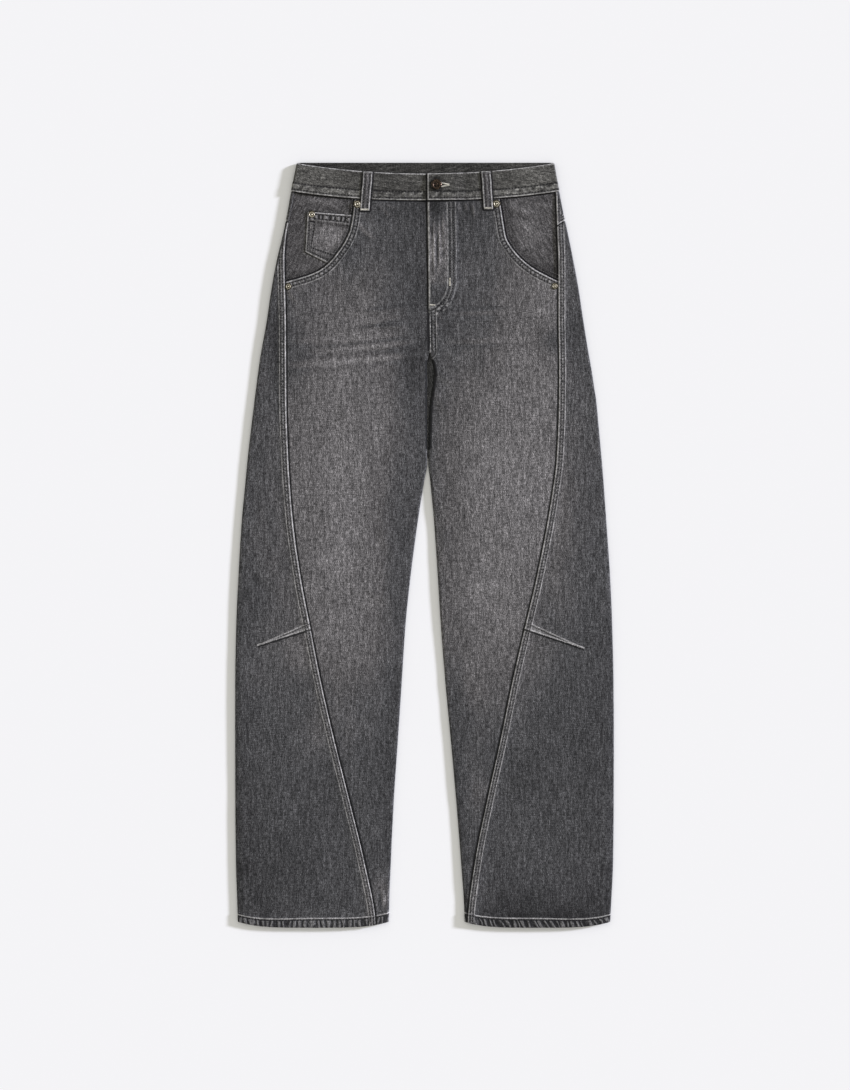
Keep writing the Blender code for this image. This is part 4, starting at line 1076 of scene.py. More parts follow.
def back_grid(side, rows, first_line, last_line, dip):
    """Points of the back between two lines, with its fields. dip sinks a row into the garment."""
    sections = SIDES[side]
    row = rows[:, None]
    zone_share = np.linspace(0, 0.06, len(STRIP_ZONE))
    strip_share = np.concatenate([zone_share, 0.06 + 0.94 * np.arange(1, STRIP_STEPS + 1) / STRIP_STEPS])
    level = row + dart_shift(row, strip_share)
    outer, seam_out_ = sections.at("outer", row), sections.at("seam", level)
    low = floor_height(outer, row) + dip[:, None] + under_relief(side * outer, row)
    high = top_height(side, outer, row) - dip[:, None] + front_relief(side * outer, row) * 0.4
    outer = outer - dip[:, None]
    radius = (high - low) / 2
    flat_width = outer - radius - seam_out_
    welt = np.minimum(1.0, 0.6 * flat_width[:, :1] / SEAM_WELT)
    zone = STRIP_ZONE * welt
    rest = np.arange(1, STRIP_STEPS + 1) / STRIP_STEPS
    zone_end = STRIP_ZONE[-1] * welt
    beyond = zone_end + (flat_width[:, len(STRIP_ZONE) :] - zone_end) * rest
    from_seam = np.concatenate([zone, beyond], axis=1)
    strip = seam_out_ + from_seam
    angles = np.pi * np.arange(1, FOLD_STEPS + 1) / FOLD_STEPS
    fold = outer - radius + radius * np.sin(angles)
    fold_up = low + radius + radius * np.cos(angles)
    under_end = np.where(
        rows < LEGS_PART, side * MIDDLE_SEAM + SEAM_GAP / 2, sections.at("inner", rows)
    )[:, None]
    under_share = np.arange(1, UNDER_STEPS + 1) / UNDER_STEPS
    under = fold[:, -1:] + (under_end - fold[:, -1:]) * under_share
    out = np.concatenate([strip, fold, under], axis=1)
    strips = strip.shape[1]
    underneath = np.ones(out.shape[1])
    underneath[:strips] = 0
    underneath[strips : strips + FOLD_STEPS] = (1 - np.cos(angles)) / 2
    level = np.concatenate([level, np.broadcast_to(row, (len(rows), FOLD_STEPS + UNDER_STEPS))], axis=1)
    shift = (first_line(out, underneath) - rows[0]) * (1 - ease(rows[0], rows[0] + 70, row))
    if last_line is not None:
        span = (row - rows[0]) / (rows[-1] - rows[0])
        shift = (first_line(out, underneath) - rows[0]) * (1 - span)
        shift = shift + (last_line(out, underneath) - rows[-1]) * span
    share = leg_share(side, out, level)
    down = level + shift - hem_bow(share, level)
    x = side * out
    up = np.empty(out.shape)
    calm = 0.4 + 0.6 * ease(0, 16, sections.at("outer", row) - strip)
    up[:, :strips] = top_height(side, strip, level[:, :strips]) + front_relief(
        x[:, :strips], down[:, :strips]
    ) * calm
    up[:, :strips] += strip_lift(side, from_seam, x[:, :strips], down[:, :strips]) - dip[:, None]
    up[:, strips : strips + FOLD_STEPS] = fold_up
    below = slice(strips + FOLD_STEPS, None)
    up[:, below] = floor_height(under, down[:, below]) + under_relief(
        x[:, below], down[:, below]
    ) + dip[:, None]
    return x, down, up, level, from_seam, strips


def back_fields(side, x, down, level, from_seam, strips):
    """Tone and seam distances of a back or a yoke."""
    out = side * x
    tone = leg_tone(side, out, down)
    tone[:, strips:] = TONES.at("fold", down[:, strips:]) + 3.0 * hills(
        x[:, strips:], down[:, strips:], 50, 41
    )
    edge, run = (np.full(x.shape, value) for value in (FAR, 0.0))
    rope = 0.5 + 0.35 * ease(200, 240, down) * (1 - ease(640, 760, down))
    edge[:, :strips] = from_seam + 0.5 * ease(620, 850, down[:, :strips])
    run[:, :strips] = down[:, :strips]
    shade_gap = np.full(x.shape, FAR)
    hem = LENGTH - level + hem_narrowing(side, out, down)
    return {"edge": edge, "run": run, "rope": rope, "shade_gap": shade_gap, "hem": hem, "tone": brightness(tone)}


def yoke_line(side, out, underneath):
    """Where the yoke's seam runs: on the front strip, round the fold, and down to the middle of the back."""
    seam_at, outer = SIDES[side].at("seam", YOKE_FOLD), SIDES[side].at("outer", YOKE_FOLD)
    from_seam = np.clip((out - seam_at) / (outer - seam_at), 0, 1)
    on_front = YOKE_OUTSEAM[side] + (YOKE_FOLD - YOKE_OUTSEAM[side]) * from_seam
    on_back = YOKE_FOLD + (YOKE_MIDDLE - YOKE_FOLD) * np.clip((outer - out) / (outer - MIDDLE_SEAM), 0, 1)
    return on_front * (1 - underneath) + on_back * underneath


def cloth_from_rows(side, x, down, up):
    """Cloth coordinates that run on round the fold."""
    points = placed(x, down, up)
    return points, flat_along(points, side * x[:, 0])


def back_leg(side):
    """One back leg. Its top edge is tucked under the yoke."""
    near_dart = DART_DOWN + np.array([-7, -5.5, -4, -3, -2, -1, 0, 1, 2, 3, 4, 5.5, 7])
    plain = np.concatenate([np.arange(YOKE_FOLD + 4, DART_DOWN - 8, 2.75), near_dart])
    plain = np.concatenate([plain, np.arange(DART_DOWN + 9.5, HEM_ROWS[0] - 1, 2.75), HEM_ROWS])
    rows = np.concatenate([YOKE_FOLD + np.array([-3.0, -1.4, 0.0, 0.8, 1.8, 2.8]), plain])
    dip = 1.15 * (1 - ease(YOKE_FOLD, YOKE_FOLD + 2.2, rows))
    x, down, up, level, from_seam, strips = back_grid(
        side, rows, lambda out, under: yoke_line(side, out, under) - 3.0, None, dip
    )
    fields = back_fields(side, x, down, level, from_seam, strips)
    # painted shade below the yoke's lower edge, on the strip
    from_yoke = (down - yoke_line(side, side * x, (np.arange(x.shape[1]) >= strips) * 1.0))[:, :strips]
    fields["shade_gap"][:, :strips] = np.minimum(fields["shade_gap"][:, :strips], np.maximum(from_yoke, -1))
    points, flat = cloth_from_rows(side, x, down, up)
    return cloth_piece("back_" + SIDE_NAMES[side], points, flat, fields, DENIM_BACK[side], WALL, side == LEFT)


def yoke(side):
    """The shaped piece between the waistband and the back. Its lower edge lies over the back."""

    def under_band(out, underneath):
        return band_bottom(
            np.minimum(out, BAND_FOLD)
        ) * (1 - underneath) + WAISTBAND_HEIGHT * underneath - BAND_TUCK

    top = WAISTBAND_HEIGHT - BAND_TUCK
    rows = np.concatenate([top + np.array([0, 1.5, 3, 3.8, 4.8, 5.8]), np.arange(46, YOKE_FOLD - 10, 2.2)])
    rows = np.concatenate([rows, YOKE_FOLD - np.array([9, 8, 7, 5.4, 4, 2.8, 1.8, 0.9, 0.0])])
    dip = 1.6 * (1 - ease(top + 3, top + 5.4, rows))
    x, down, up, level, from_seam, strips = back_grid(
        side, rows, under_band, lambda out, under: yoke_line(side, out, under), dip
    )
    fields = back_fields(side, x, down, level, from_seam, strips)
    from_lower = (YOKE_FOLD - rows)[:, None] + 0 * x
    fields["run"] = np.where(from_lower < fields["edge"], x, fields["run"])
    fields["edge"] = np.minimum(fields["edge"], from_lower)
    fields["rope"][:] = 0.7
    if side == RIGHT:
        fields["edge"][:, :strips] = FAR
    points, flat = cloth_from_rows(side, x, down, up)
    return cloth_piece("yoke_" + SIDE_NAMES[side], points, flat, fields, DENIM_BACK[side], WALL, side == LEFT)


for this_side in SIDES:
    back_leg(this_side)
    yoke(this_side)

# %% [markdown]
# ## Inside the pockets
# Behind each opening lies the pocket facing, of the same denim but less worn at its edges. The small coin
# pocket is sewn on the right one, and the edge of the big opening covers its side. Both follow the form of
# the leg, a little lower.

# %% Facings and the coin pocket
FACING_DROP = 1.6
COIN_RISE = 1.05


def coin_point(across, along):
    """OUT and DOWN of a point of the coin pocket, from its free edge at 0 and from its top at 0."""
    left_out, left_down = 161.9 + 3.2 * along, 68.4 + 55.5 * along
    right_down = 73.6 + 68.4 * along
    right_out = OPENINGS[RIGHT].at("edge", right_down) - 5.0
    return left_out + (right_out - left_out) * across, left_down + (right_down - left_down) * across


COIN_RUNS = (
    coin_point(np.linspace(1, 0, 40), 0.0),
    coin_point(0.0, np.linspace(0, 1, 40)),
    coin_point(np.linspace(0, 1, 40), 1.0),
)
coin_out, coin_down = (np.concatenate(values) for values in zip(*COIN_RUNS))
COIN_OUTLINE = Line(-coin_out, coin_down)


def facing_height(side, out, down):
    """Height of a facing's outer face, tucked under the waistband at its top."""
    under_band = down - band_bottom(np.abs(out))
    up = top_height(side, out, down) + front_relief(side * out, down) - FACING_DROP
    return up - 0.3 * (1 - ease(0, 2.5, under_band))


def facing(side):
    """A pocket facing, from under the outseam to under the opening's edge."""
    sections = SIDES[side]
    rows = np.linspace(0, 1, 56) ** 1.05
    start = band_bottom(np.array(150.0)) - BAND_TUCK
    down = start + (OPENING_END[side] + 2 - start) * rows
    outer = sections.at("seam", down) + 1.6
    inner = OPENINGS[side].at("edge", down) - 9.0
    share = np.linspace(0, 1, 42)
    out = outer[:, None] + (inner - outer)[:, None] * share
    fade = 1 - ease(start, 120, down)[:, None]
    reach = down[:, None] + (band_bottom(out) - BAND_TUCK - start) * fade
    up = facing_height(side, out, reach)
    from_opening, _ = OPENING_LINES[side].near(side * out, reach)
    # painted shade along the outseam, under the waistband, under the opening's edge and round the coin pocket
    at_seam = sections.at("seam", reach) - out
    if side == RIGHT:
        at_seam = at_seam + 4 * (1 - ease(84, 104, reach))
    shade_gap = np.minimum(at_seam, reach - band_bottom(out))
    shade_gap = np.maximum(np.minimum(shade_gap, from_opening), -1)
    if side == RIGHT:
        shade_gap = np.minimum(shade_gap, 1.4 + COIN_OUTLINE.near(-out, reach)[0])
    middle = {RIGHT: (-140.0, 140.0), LEFT: (146.0, 96.0)}[side]
    worn = np.exp(-(((side * out - middle[0]) / 26) ** 2) - ((reach - middle[1]) / 34) ** 2)
    base = {RIGHT: 76.0, LEFT: 78.0}[side]
    tone = base + {RIGHT: 13.0, LEFT: 20.0}[side] * worn + 4 * hills(side * out, reach, 30, 51)
    tone = tone + 5 * hills(
        side * out + reach, reach - side * out, 9, 52
    ) + 80 * worn_folds(side * out, reach)
    shade = {RIGHT: (20, 5.0), LEFT: (18, 11.0)}[side]
    tone = tone - shade[0] * hump(from_opening - 2.0, shade[1])
    fields = {"shade_gap": shade_gap, "tone": brightness(tone)}
    turn = math.radians(28.0) * side
    flat = np.stack(
        [side * out * math.cos(turn) - reach * math.sin(turn), side * out * math.sin(turn) + reach], axis=-1
    )
    name = "pocket_facing_" + SIDE_NAMES[side]
    points = placed(side * out, reach, up)
    return cloth_piece(name, points, flat, fields, DENIM_SMALL, WALL, side == RIGHT)


def coin_height(out, down):
    """Height of the coin pocket's face."""
    return facing_height(RIGHT, out, down) + COIN_RISE


def coin_pocket():
    """The small pocket: a hem along its top, a free edge, and a slanted lower edge."""
    ends = np.array([0, 0.012, 0.03, 0.055, 0.08, 0.11, 0.145])
    steps = np.concatenate([ends, np.linspace(0.18, 0.84, 20), 1 - ends[::-1]])
    across, along = np.meshgrid(steps, steps)
    out, down = coin_point(across, along)
    long_side, short_side = 57.0, 56.0
    from_top, from_low, from_free = along * long_side, (1 - along) * long_side, across * short_side
    edge = np.minimum(np.minimum(from_top, from_low), from_free)
    up = coin_height(out, down) - 0.3 * (1 - ease(0, 0.7, edge)) + 0.3 * (1 - ease(11.0, 12.4, from_top))
    run = np.where(from_free <= edge, from_top, from_free)
    rope = np.where(from_top <= 15, 1.2, 0.3)
    worn = np.exp(-(((across - 0.55) / 0.3) ** 2) - ((along - 0.5) / 0.28) ** 2)
    from_opening = np.maximum(OPENING_LINES[RIGHT].near(-out, down)[0], 0)
    # painted shade along the opening's edge, which lies over the pocket
    tone = 90 + 24 * worn - 22 * hump(from_opening, 8.0) + 5 * hills(out, down, 9, 53)
    # a pale line across the hem, and a painted shade line just below the hem's lower edge
    tone = tone + 22 * hump(from_top - 9.6, 1.3) - 34 * hump(from_top - 13.4, 1.3)
    fields = {"edge": edge, "run": run, "rope": rope, "tone": brightness(tone)}
    fields["shade_gap"] = from_opening
    flat = np.stack([-out, -down], axis=-1)
    return cloth_piece(
        "coin_pocket", placed(-out, down, up), flat, fields, DENIM_SMALL, WALL, True
    )


for this_side in SIDES:
    facing(this_side)
coin_pocket()

# %% [markdown]
# ## The waistband
# One strip of doubled cloth runs once round the waist. Its threads run along it. Inside its lower half lies
# the seam allowance of everything sewn to it, so a paler, puckered band shows there. The wearer's left end
# overlaps the right one. The back part shows its inner face above the front, because the front dips.

# %% Waistband
BAND_ROWS = np.concatenate(
    [[0, 0.014, 0.035, 0.065, 0.1], np.linspace(0.14, 0.62, 12), np.linspace(0.65, 0.93, 13)]
)
BAND_ROWS = np.concatenate([BAND_ROWS, [0.95, 0.968, 0.985, 1.0]])
BAND_END = float(SIDES[LEFT].at("inner", 20.0))


def band_relief(run, from_bottom, from_top):
    """The ridge of the seam allowance, its puckers, and the rounded edges."""
    ridge = 1 - ease(10.8, 12.4, from_bottom)
    puckers = 0.30 * hills(run, from_bottom * 0.6, 7.5, 61) * ridge * ease(0.5, 3, from_bottom)
    rounded = 0.45 * (1 - ease(0, 0.9, np.minimum(from_bottom, from_top)))
    return 0.28 * ridge + puckers - rounded + 0.12 * hills(run, from_bottom, 22, 62)


def band_lift(x):
    """How far the overlap lies above the underlap."""
    return OVERLAP_LIFT * (1 - ease(36.0, 60.0, x))


def waistband():
    """The whole strip, from the underlap round the back to the overlap."""
    fold = np.linspace(0, math.pi, 19)
    first = np.linspace(34.0, -180.0, 128)
    back = np.linspace(-180.0, 180.0, 150)
    last = np.concatenate(
        [np.linspace(180.0, BAND_END + 3, 112), BAND_END + np.array([2.2, 1.5, 0.8, 0.3, 0.0])]
    )
    counts = (len(first), len(fold) - 2, len(back), len(fold) - 2, len(last))
    nominal = np.concatenate([first, np.full(counts[1], -180.0), back, np.full(counts[3], 180.0), last])
    angle = np.concatenate(
        [
            np.zeros(counts[0]), fold[1:-1], np.full(counts[2], math.pi), math.pi - fold[1:-1],
            np.zeros(counts[4])
        ]
    )
    on_last = np.arange(len(nominal)) >= sum(counts[:4])
    side = np.where(nominal < 0, RIGHT, LEFT)
    low = (1 - np.cos(angle)) / 2
    near = np.minimum(np.abs(nominal), BAND_FOLD)
    top, bottom = band_top(near) * (1 - low), band_bottom(near) * (1 - low) + WAISTBAND_HEIGHT * low
    down = top + (bottom - top) * BAND_ROWS[:, None]
    outer = np.where(side == RIGHT, SIDES[RIGHT].at("outer", down), SIDES[LEFT].at("outer", down))
    radius = (WAISTBAND_TOP - WAISTBAND_FLOOR) / 2
    middle = outer - radius
    out = middle * near / BAND_FOLD + radius * np.sin(angle)
    x = out * side
    x = np.where((nominal >= 0) & (nominal < BAND_FOLD) & (angle == 0), nominal * middle / BAND_FOLD, x)
    steps = np.hypot(np.diff(x[0]), np.diff(radius * np.cos(angle)))
    run = np.concatenate([[0], np.cumsum(steps)])[None, :] + 0 * x
    from_top, from_bottom = down - top, bottom - down
    relief = band_relief(run, from_bottom, from_top) * (1 - 0.75 * low)
    end = np.where(on_last, x - x[:, -1:], FAR)
    relief -= 0.4 * (1 - ease(0, 0.8, end))
    up = WAISTBAND_FLOOR + radius + (radius + relief) * np.cos(angle) + np.where(on_last, band_lift(x), 0.0)
    x = x + side * relief * np.sin(angle)
    below_overlap = (~on_last) & (nominal > BAND_END - 2) & (angle == 0)
    up -= np.where(below_overlap, 0.35 * relief, 0.0)
    edge = np.minimum(from_bottom, from_top + 0.4)
    edge = np.minimum(edge, end)
    in_back = (nominal > -176) & (nominal < 176) & (angle == math.pi)
    edge = np.where(in_back, FAR, edge)
    rope = np.where((from_bottom < 14) & (end > 3), 0.26, 0.0)
    tone = 77 + 5 * hills(run, down, 40, 63) + 6 * hills(run * 0.6, down * 2, 8, 64)
    tone = tone + (15 * ease(80, 150, np.abs(nominal)) - 9 * ease(160, 180, np.abs(nominal))) * (1 - low)
    allowance = 1 - ease(10.8, 12.4, from_bottom)
    slanted = hills(run + from_bottom * 0.9, from_bottom * 0.6, 5.4, 65)
    tone = tone + allowance * (8 + 34 * slanted * ease(0.5, 3, from_bottom)) * (1 - 0.6 * low)
    tone = tone - 16 * hump(from_bottom - 12.8, 1.0)
    # painted shade: a dark ring round the button, and the whole back part darker for the shade on its inner
    # face
    from_button = np.hypot(x - 16.6, down - 31.2)
    tone = tone - 26 * hump(from_button - 8.6, 1.6) * on_last - 17 * in_back
    # painted shade left of the overlap's end and beside the loops
    shade_gap = np.where(on_last | (angle > 0), FAR, np.maximum(BAND_END - x, -1.0))
    shade_gap = np.minimum(shade_gap, np.where(low > 0, FAR, loop_shade(x, down)))
    fields = {"edge": edge, "run": run, "rope": rope, "shade_gap": shade_gap, "tone": brightness(tone)}
    slant = math.radians(8.0)
    flat = np.stack([down * math.cos(slant) + run * math.sin(slant), run * math.cos(slant)], axis=-1)
    piece = cloth_piece("waistband", placed(x, down, up), flat, fields, DENIM_BAND, BAND_WALL, False)
    return piece


def band_height(x, down):
    """Height of the front waistband's face, for what lies or is sewn on it."""
    from_bottom = band_bottom(np.abs(x)) - down
    return WAISTBAND_TOP + 0.25 * (1 - ease(10.8, 12.4, from_bottom)) + np.where(x > 0, band_lift(x), 0.0)


waistband()

# %% [markdown]
# ## Belt loops and back pockets
# Five narrow folded straps hold a belt. Each is caught under the waistband's top and tacked down below it.
# Two rows of stitches pull their middle into a soft ridge. The two patch pockets on the back are hidden by
# the photographed side, so they are plain.

# %% Loops and patches


def belt_loop(name, middle, downs, ups, facing_up):
    """A strap along a line of middles, distances down and heights."""
    steps = np.array(
        [-1, -0.95, -0.86, -0.72, -0.58, -0.46, -0.3, -0.1, 0.1, 0.3, 0.46, 0.58, 0.72, 0.86, 0.95, 1]
    )
    along = np.linspace(0, 1, 64)
    spots = np.linspace(0, 1, len(downs))
    down = np.interp(along, spots, downs)[:, None]
    across = steps * LOOP_WIDTH / 2
    from_side = LOOP_WIDTH / 2 - np.abs(across)
    shape = 0.22 * ease(0, 1.2, from_side) - 0.20 * hump(from_side - 2.9, 0.7)
    dents = 0.07 * hills(across, down, 4.0, 71) * ease(0.5, 2, from_side)
    x = np.interp(along, spots, middle)[:, None] + across + 0.25 * hills(down, 0 * down, 14.0, 72)
    up = np.interp(along, spots, ups)[:, None] + (1 if facing_up else 0.3) * (shape + dents - 0.22)
    ends = np.minimum(down - downs[0], downs[-1] - down)
    edge = np.minimum(from_side, ends + 0.5 + 4 * (ends > 1.6)) + 0 * x
    tone = 86 + 14 * hump(across, 2.0) + 9 * hills(x, down, 5, 73)
    fields = {"edge": edge, "run": down + 0 * x, "rope": 0.12, "tone": brightness(tone)}
    flat = np.stack([across + 0 * x, -down + 0 * x], axis=-1)
    solid = "belt_loop_" + name
    return cloth_piece(solid, placed(x, down + 0 * x, up), flat, fields, DENIM_LOOP, LOOP_WALL, facing_up)


def front_loop_line(side):
    """Middles, distances down and heights of a front loop: over the waistband, then down onto the leg."""
    start, end = FRONT_LOOPS[side]
    downs = np.linspace(band_top(start) + 0.3, FRONT_LOOP_END[side], 40)
    middle = start + (end - start) * (downs - downs[0]) / (downs[-1] - downs[0])
    leg = top_height(side, np.abs(middle), downs) + 0.2
    band = WAISTBAND_TOP + 0.42
    over = 1 - ease(50.5, 57, downs)
    return middle, downs, leg + (band - leg) * over + LOOP_WALL + 0.1


for this_side in SIDES:
    belt_loop("front_" + SIDE_NAMES[this_side], *front_loop_line(this_side), True)
for loop_name, loop_middle in BACK_LOOPS.items():
    loop_downs = np.linspace(0.6, BACK_LOOP_END, 40)
    belt_loop(loop_name, np.full(40, loop_middle), loop_downs, np.full(40, 0.1), False)


def patch_pocket(side):
    """A back pocket with a pointed lower edge, between the back and the table."""
    steps = np.linspace(0, 1, 30)
    across, along = np.meshgrid(steps, steps)
    narrow = 5.0 * along
    out = PATCH_OUT[0] + narrow + (PATCH_OUT[1] - PATCH_OUT[0] - 2 * narrow) * across
    side_length = PATCH_DOWN[1] - PATCH_DOWN[0] - PATCH_POINT
    down = PATCH_DOWN[0] + (side_length + PATCH_POINT * (1 - np.abs(2 * across - 1))) * along
    from_side = np.minimum(across, 1 - across) * (PATCH_OUT[1] - PATCH_OUT[0])
    from_end = np.minimum(along, 1 - along) * (PATCH_DOWN[1] - PATCH_DOWN[0])
    edge = np.minimum(from_side, from_end)
    tone = 76 + 5 * hills(side * out, down, 30, 81) + 3 * hills(side * out, down, 9, 82)
    run = np.where(from_side < from_end, down, out)
    fields = {"edge": edge, "run": run, "rope": 0.5, "tone": brightness(tone)}
    points = placed(side * out, down, 0.12 + 0.1 * hills(out, down, 25, 83))
    flat = points[..., :2]
    name = "back_pocket_" + SIDE_NAMES[side]
    return cloth_piece(name, points, flat, fields, DENIM_SMALL, LOOP_WALL, side == RIGHT)


for this_side in SIDES:
    patch_pocket(this_side)

# %% [markdown]
# ## Thread
# A row of topstitching is many short threads that dive into the cloth at both ends. One small mesh of a few
# dozen faces is placed along each line by arrays, turned to the line's direction and set to the height of
# the cloth there. Every row of a seam is one object, and it is denim coloured, because the trousers are
# sewn in a matching grey.

# %% Stitches
STITCH_PITCH = 3.5
STITCH_LENGTH = 2.0
THREAD_RADIUS = 0.25
stitch_count = 0


def thread_material(name, tone):
    """Matt cotton thread with some variation from stitch to stitch."""
    material = bpy.data.materials.new(name)
    material.use_nodes = True
    tree = material.node_tree
    shader = tree.nodes["Principled BSDF"]
    where = node(tree, "ShaderNodeTexCoord").outputs["Object"]
    where = node(tree, "ShaderNodeVectorMath", {0: where, 1: (UV_MM,) * 3}, operation="MULTIPLY").outputs[0]
    uneven = ramp(tree, noise(tree, where, (4.0, 4.0, 4.0)), 0.3, 0.7, 0.6, 1.35)
    colour = node(tree, "ShaderNodeVectorMath", {0: tuple(brightness(tone))}, operation="SCALE")
    tree.links.new(uneven, colour.inputs["Scale"])
    tree.links.new(colour.outputs["Vector"], shader.inputs["Base Color"])
    shader.inputs["Roughness"].default_value = 0.85
    shader.inputs["Specular IOR Level"].default_value = 0.2
    return material


THREAD = thread_material("grey thread", (112, 110, 109))
PALE_THREAD = thread_material("pale thread", (206, 202, 190))


def sew(
    name, x, down, up, way_x, way_down, length=STITCH_LENGTH, radius=THREAD_RADIUS, thread=None, below=False
):
    """Threads centred on points and turned to directions, as one object."""
    global stitch_count
    x, down, up, way_x, way_down = (np.ravel(a) for a in np.broadcast_arrays(x, down, up, way_x, way_down))
    rings, round_steps = np.linspace(-0.5, 0.5, 5), 6
    turn = 2 * np.pi * np.arange(round_steps) / round_steps
    thick = np.array([0.45, 0.9, 1.0, 0.9, 0.45])
    sink = np.array([-0.9, -0.1, 0.15, -0.1, -0.9]) * radius
    along = (rings * length)[:, None] + 0 * turn
    across = radius * thick[:, None] * np.cos(turn)
    rise = radius * 0.8 * thick[:, None] * np.sin(turn) + sink[:, None]
    along, across, rise = (a.ravel() for a in (along, across, rise))
    way_y = -way_down
    spots_x = x[:, None] + along * way_x[:, None] - across * way_y[:, None]
    spots_y = LENGTH / 2 - down[:, None] + along * way_y[:, None] + across * way_x[:, None]
    spots_z = up[:, None] + (-1 if below else 1) * rise
    points = np.stack([spots_x, spots_y, np.maximum(spots_z, 0.02)], axis=-1).reshape(-1, 3)
    index = np.arange(5 * round_steps).reshape(5, round_steps)
    ahead = np.roll(index, -1, axis=1)
    quads = np.stack([index[:-1], ahead[:-1], ahead[1:], index[1:]], axis=-1).reshape(-1, 4)
    caps = np.array([[3, 2, 1, 0], [5, 4, 3, 0], [24, 25, 26, 27], [24, 27, 28, 29]])
    quads = np.concatenate([quads[:, ::-1] if not below else quads, caps[:, ::-1] if below else caps])
    quads = (quads[None] + 5 * round_steps * np.arange(len(x))[:, None, None]).reshape(-1, 4)
    mesh = plain_mesh(name, points, quads)
    piece = bpy.data.objects.new(name, mesh)
    bpy.context.scene.collection.objects.link(piece)
    mesh.materials.append(thread or THREAD)
    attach(piece, "root")
    stitch_count += len(x)
    return piece


def row_of(line, start=None, end=None, pitch=STITCH_PITCH, seed=0):
    """Evenly pitched places along a line, each a little off, with the line's direction."""
    run = np.arange(
        (start if start is not None else 1.5), (end if end is not None else line.run[-1] - 1.5), pitch
    )
    wander = np.random.default_rng(seed).uniform(-0.2, 0.2, (2, len(run)))
    x, down, way_x, way_down = line.at(run + wander[0])
    return x - wander[1] * 0.5 * way_down, down + wander[1] * 0.5 * way_x, way_x, way_down


def join_rows(rows):
    """Several rows as one set of arrays."""
    return [np.concatenate(values) for values in zip(*rows)]


def strip_height(side, x, down):
    """Height of the back's strip on the front, seam and dart included."""
    out = side * x
    from_seam = out - SIDES[side].at("seam", down)
    up = top_height(side, out, down) + strip_lift(side, from_seam, x, down)
    return up + front_relief(x, down) * (0.4 + 0.6 * ease(0, 16, SIDES[side].at("outer", down) - out))


def seam_row(side, offset, first=58.0, last=LENGTH - 17.0):
    """A line at a distance from the outseam's edge, where the strip is wide enough."""
    down = np.linspace(first, last, 900)
    widest = SIDES[side].at("outer", down) - SIDES[side].at("seam", down)
    out = SIDES[side].at("seam", down) + np.minimum(offset, 0.3 * widest)
    return Line(side * out, down - hem_bow(leg_share(side, out, down), down))


for this_side in SIDES:
    side_name = SIDE_NAMES[this_side]
    seam_rows = [row_of(seam_row(this_side, 2.7), seed=1), row_of(seam_row(this_side, 6.4, 150.0), seed=2)]
    x, down, way_x, way_down = join_rows(seam_rows)
    sew(f"stitches_outseam_{side_name}", x, down, strip_height(this_side, x, down) + 0.1, way_x, way_down)
    opening_rows = [
        row_of(OPENING_LINES[this_side].beside(-this_side * offset), seed=3) for offset in (3.3, 8.0)
    ]
    x, down, way_x, way_down = join_rows(opening_rows)
    keep = this_side * x < SIDES[this_side].at("seam", down) - 1
    x, down, way_x, way_down = (a[keep] for a in (x, down, way_x, way_down))
    height = front_height(this_side, this_side * x, down, down) + 0.1
    sew(f"stitches_opening_{side_name}", x, down, height, way_x, way_down)
    dart_rows = [row_of(line, 1.0, line.run[-1] - 2, seed=4) for line in DART_LINES[this_side]]
    x, down, way_x, way_down = join_rows(dart_rows)
    sew(f"stitches_dart_{side_name}", x, down, strip_height(this_side, x, down) + 0.08, way_x, way_down)
print("stitches so far:", stitch_count)

# %% Stitches of the fly, the waistband, the loops and the hems


x, down, way_x, way_down = join_rows([row_of(fly_row(reach), 8.5, seed=5) for reach in (35.7, 40.3)])
sew("stitches_fly", x, down, front_height(LEFT, x, down, down) + 0.1, way_x, way_down)

band_rows = []
for start, end, offset in ((-174.0, 2.0, 2.6), (6.5, 177.0, 2.6), (-174.0, 2.0, -2.2), (6.5, 177.0, -2.2)):
    at_x = np.linspace(start, end, 200)
    at_down = band_bottom(at_x) - offset if offset > 0 else band_top(at_x) - offset
    band_rows.append(row_of(Line(at_x, at_down), seed=6))
band_rows.append(row_of(Line([BAND_END + 2.4, BAND_END + 2.4], [18.5, 49.5]), seed=7))
x, down, way_x, way_down = join_rows(band_rows)
sew("stitches_waistband", x, down, band_height(x, down) + 0.05, way_x, way_down)

for this_side in SIDES:
    middle, downs, ups = front_loop_line(this_side)
    rows = []
    for aside in (-3.2, 3.2):
        rows.append(row_of(Line(middle + aside, downs), 2.0, 46.0, seed=8))
    x, down, way_x, way_down = join_rows(rows)
    sew(
        f"stitches_loop_{SIDE_NAMES[this_side]}", x, down, np.interp(down, downs, ups) - 0.12, way_x,
        way_down, 1.8
    )

for this_side in SIDES:
    sections = SIDES[this_side]
    level = LENGTH - HEM_LINE + 0.7
    at_out = np.linspace(
        float(sections.at("inner", level)) + 5.0, float(sections.at("outer", level)) - 2.5, 200
    )
    at_down = level - hem_bow(leg_share(this_side, at_out, level), level) + hem_narrowing(
        this_side, at_out, level
    )
    x, down, way_x, way_down = row_of(Line(this_side * at_out, at_down), seed=9)
    on_front = this_side * x < sections.at("seam", level)
    levels = np.full(len(x), level)
    height = front_height(this_side, this_side * x, down, levels)
    height = np.where(on_front, height, strip_height(this_side, x, levels))
    sew(f"stitches_hem_{SIDE_NAMES[this_side]}", x, down, height + 0.08, way_x, way_down)

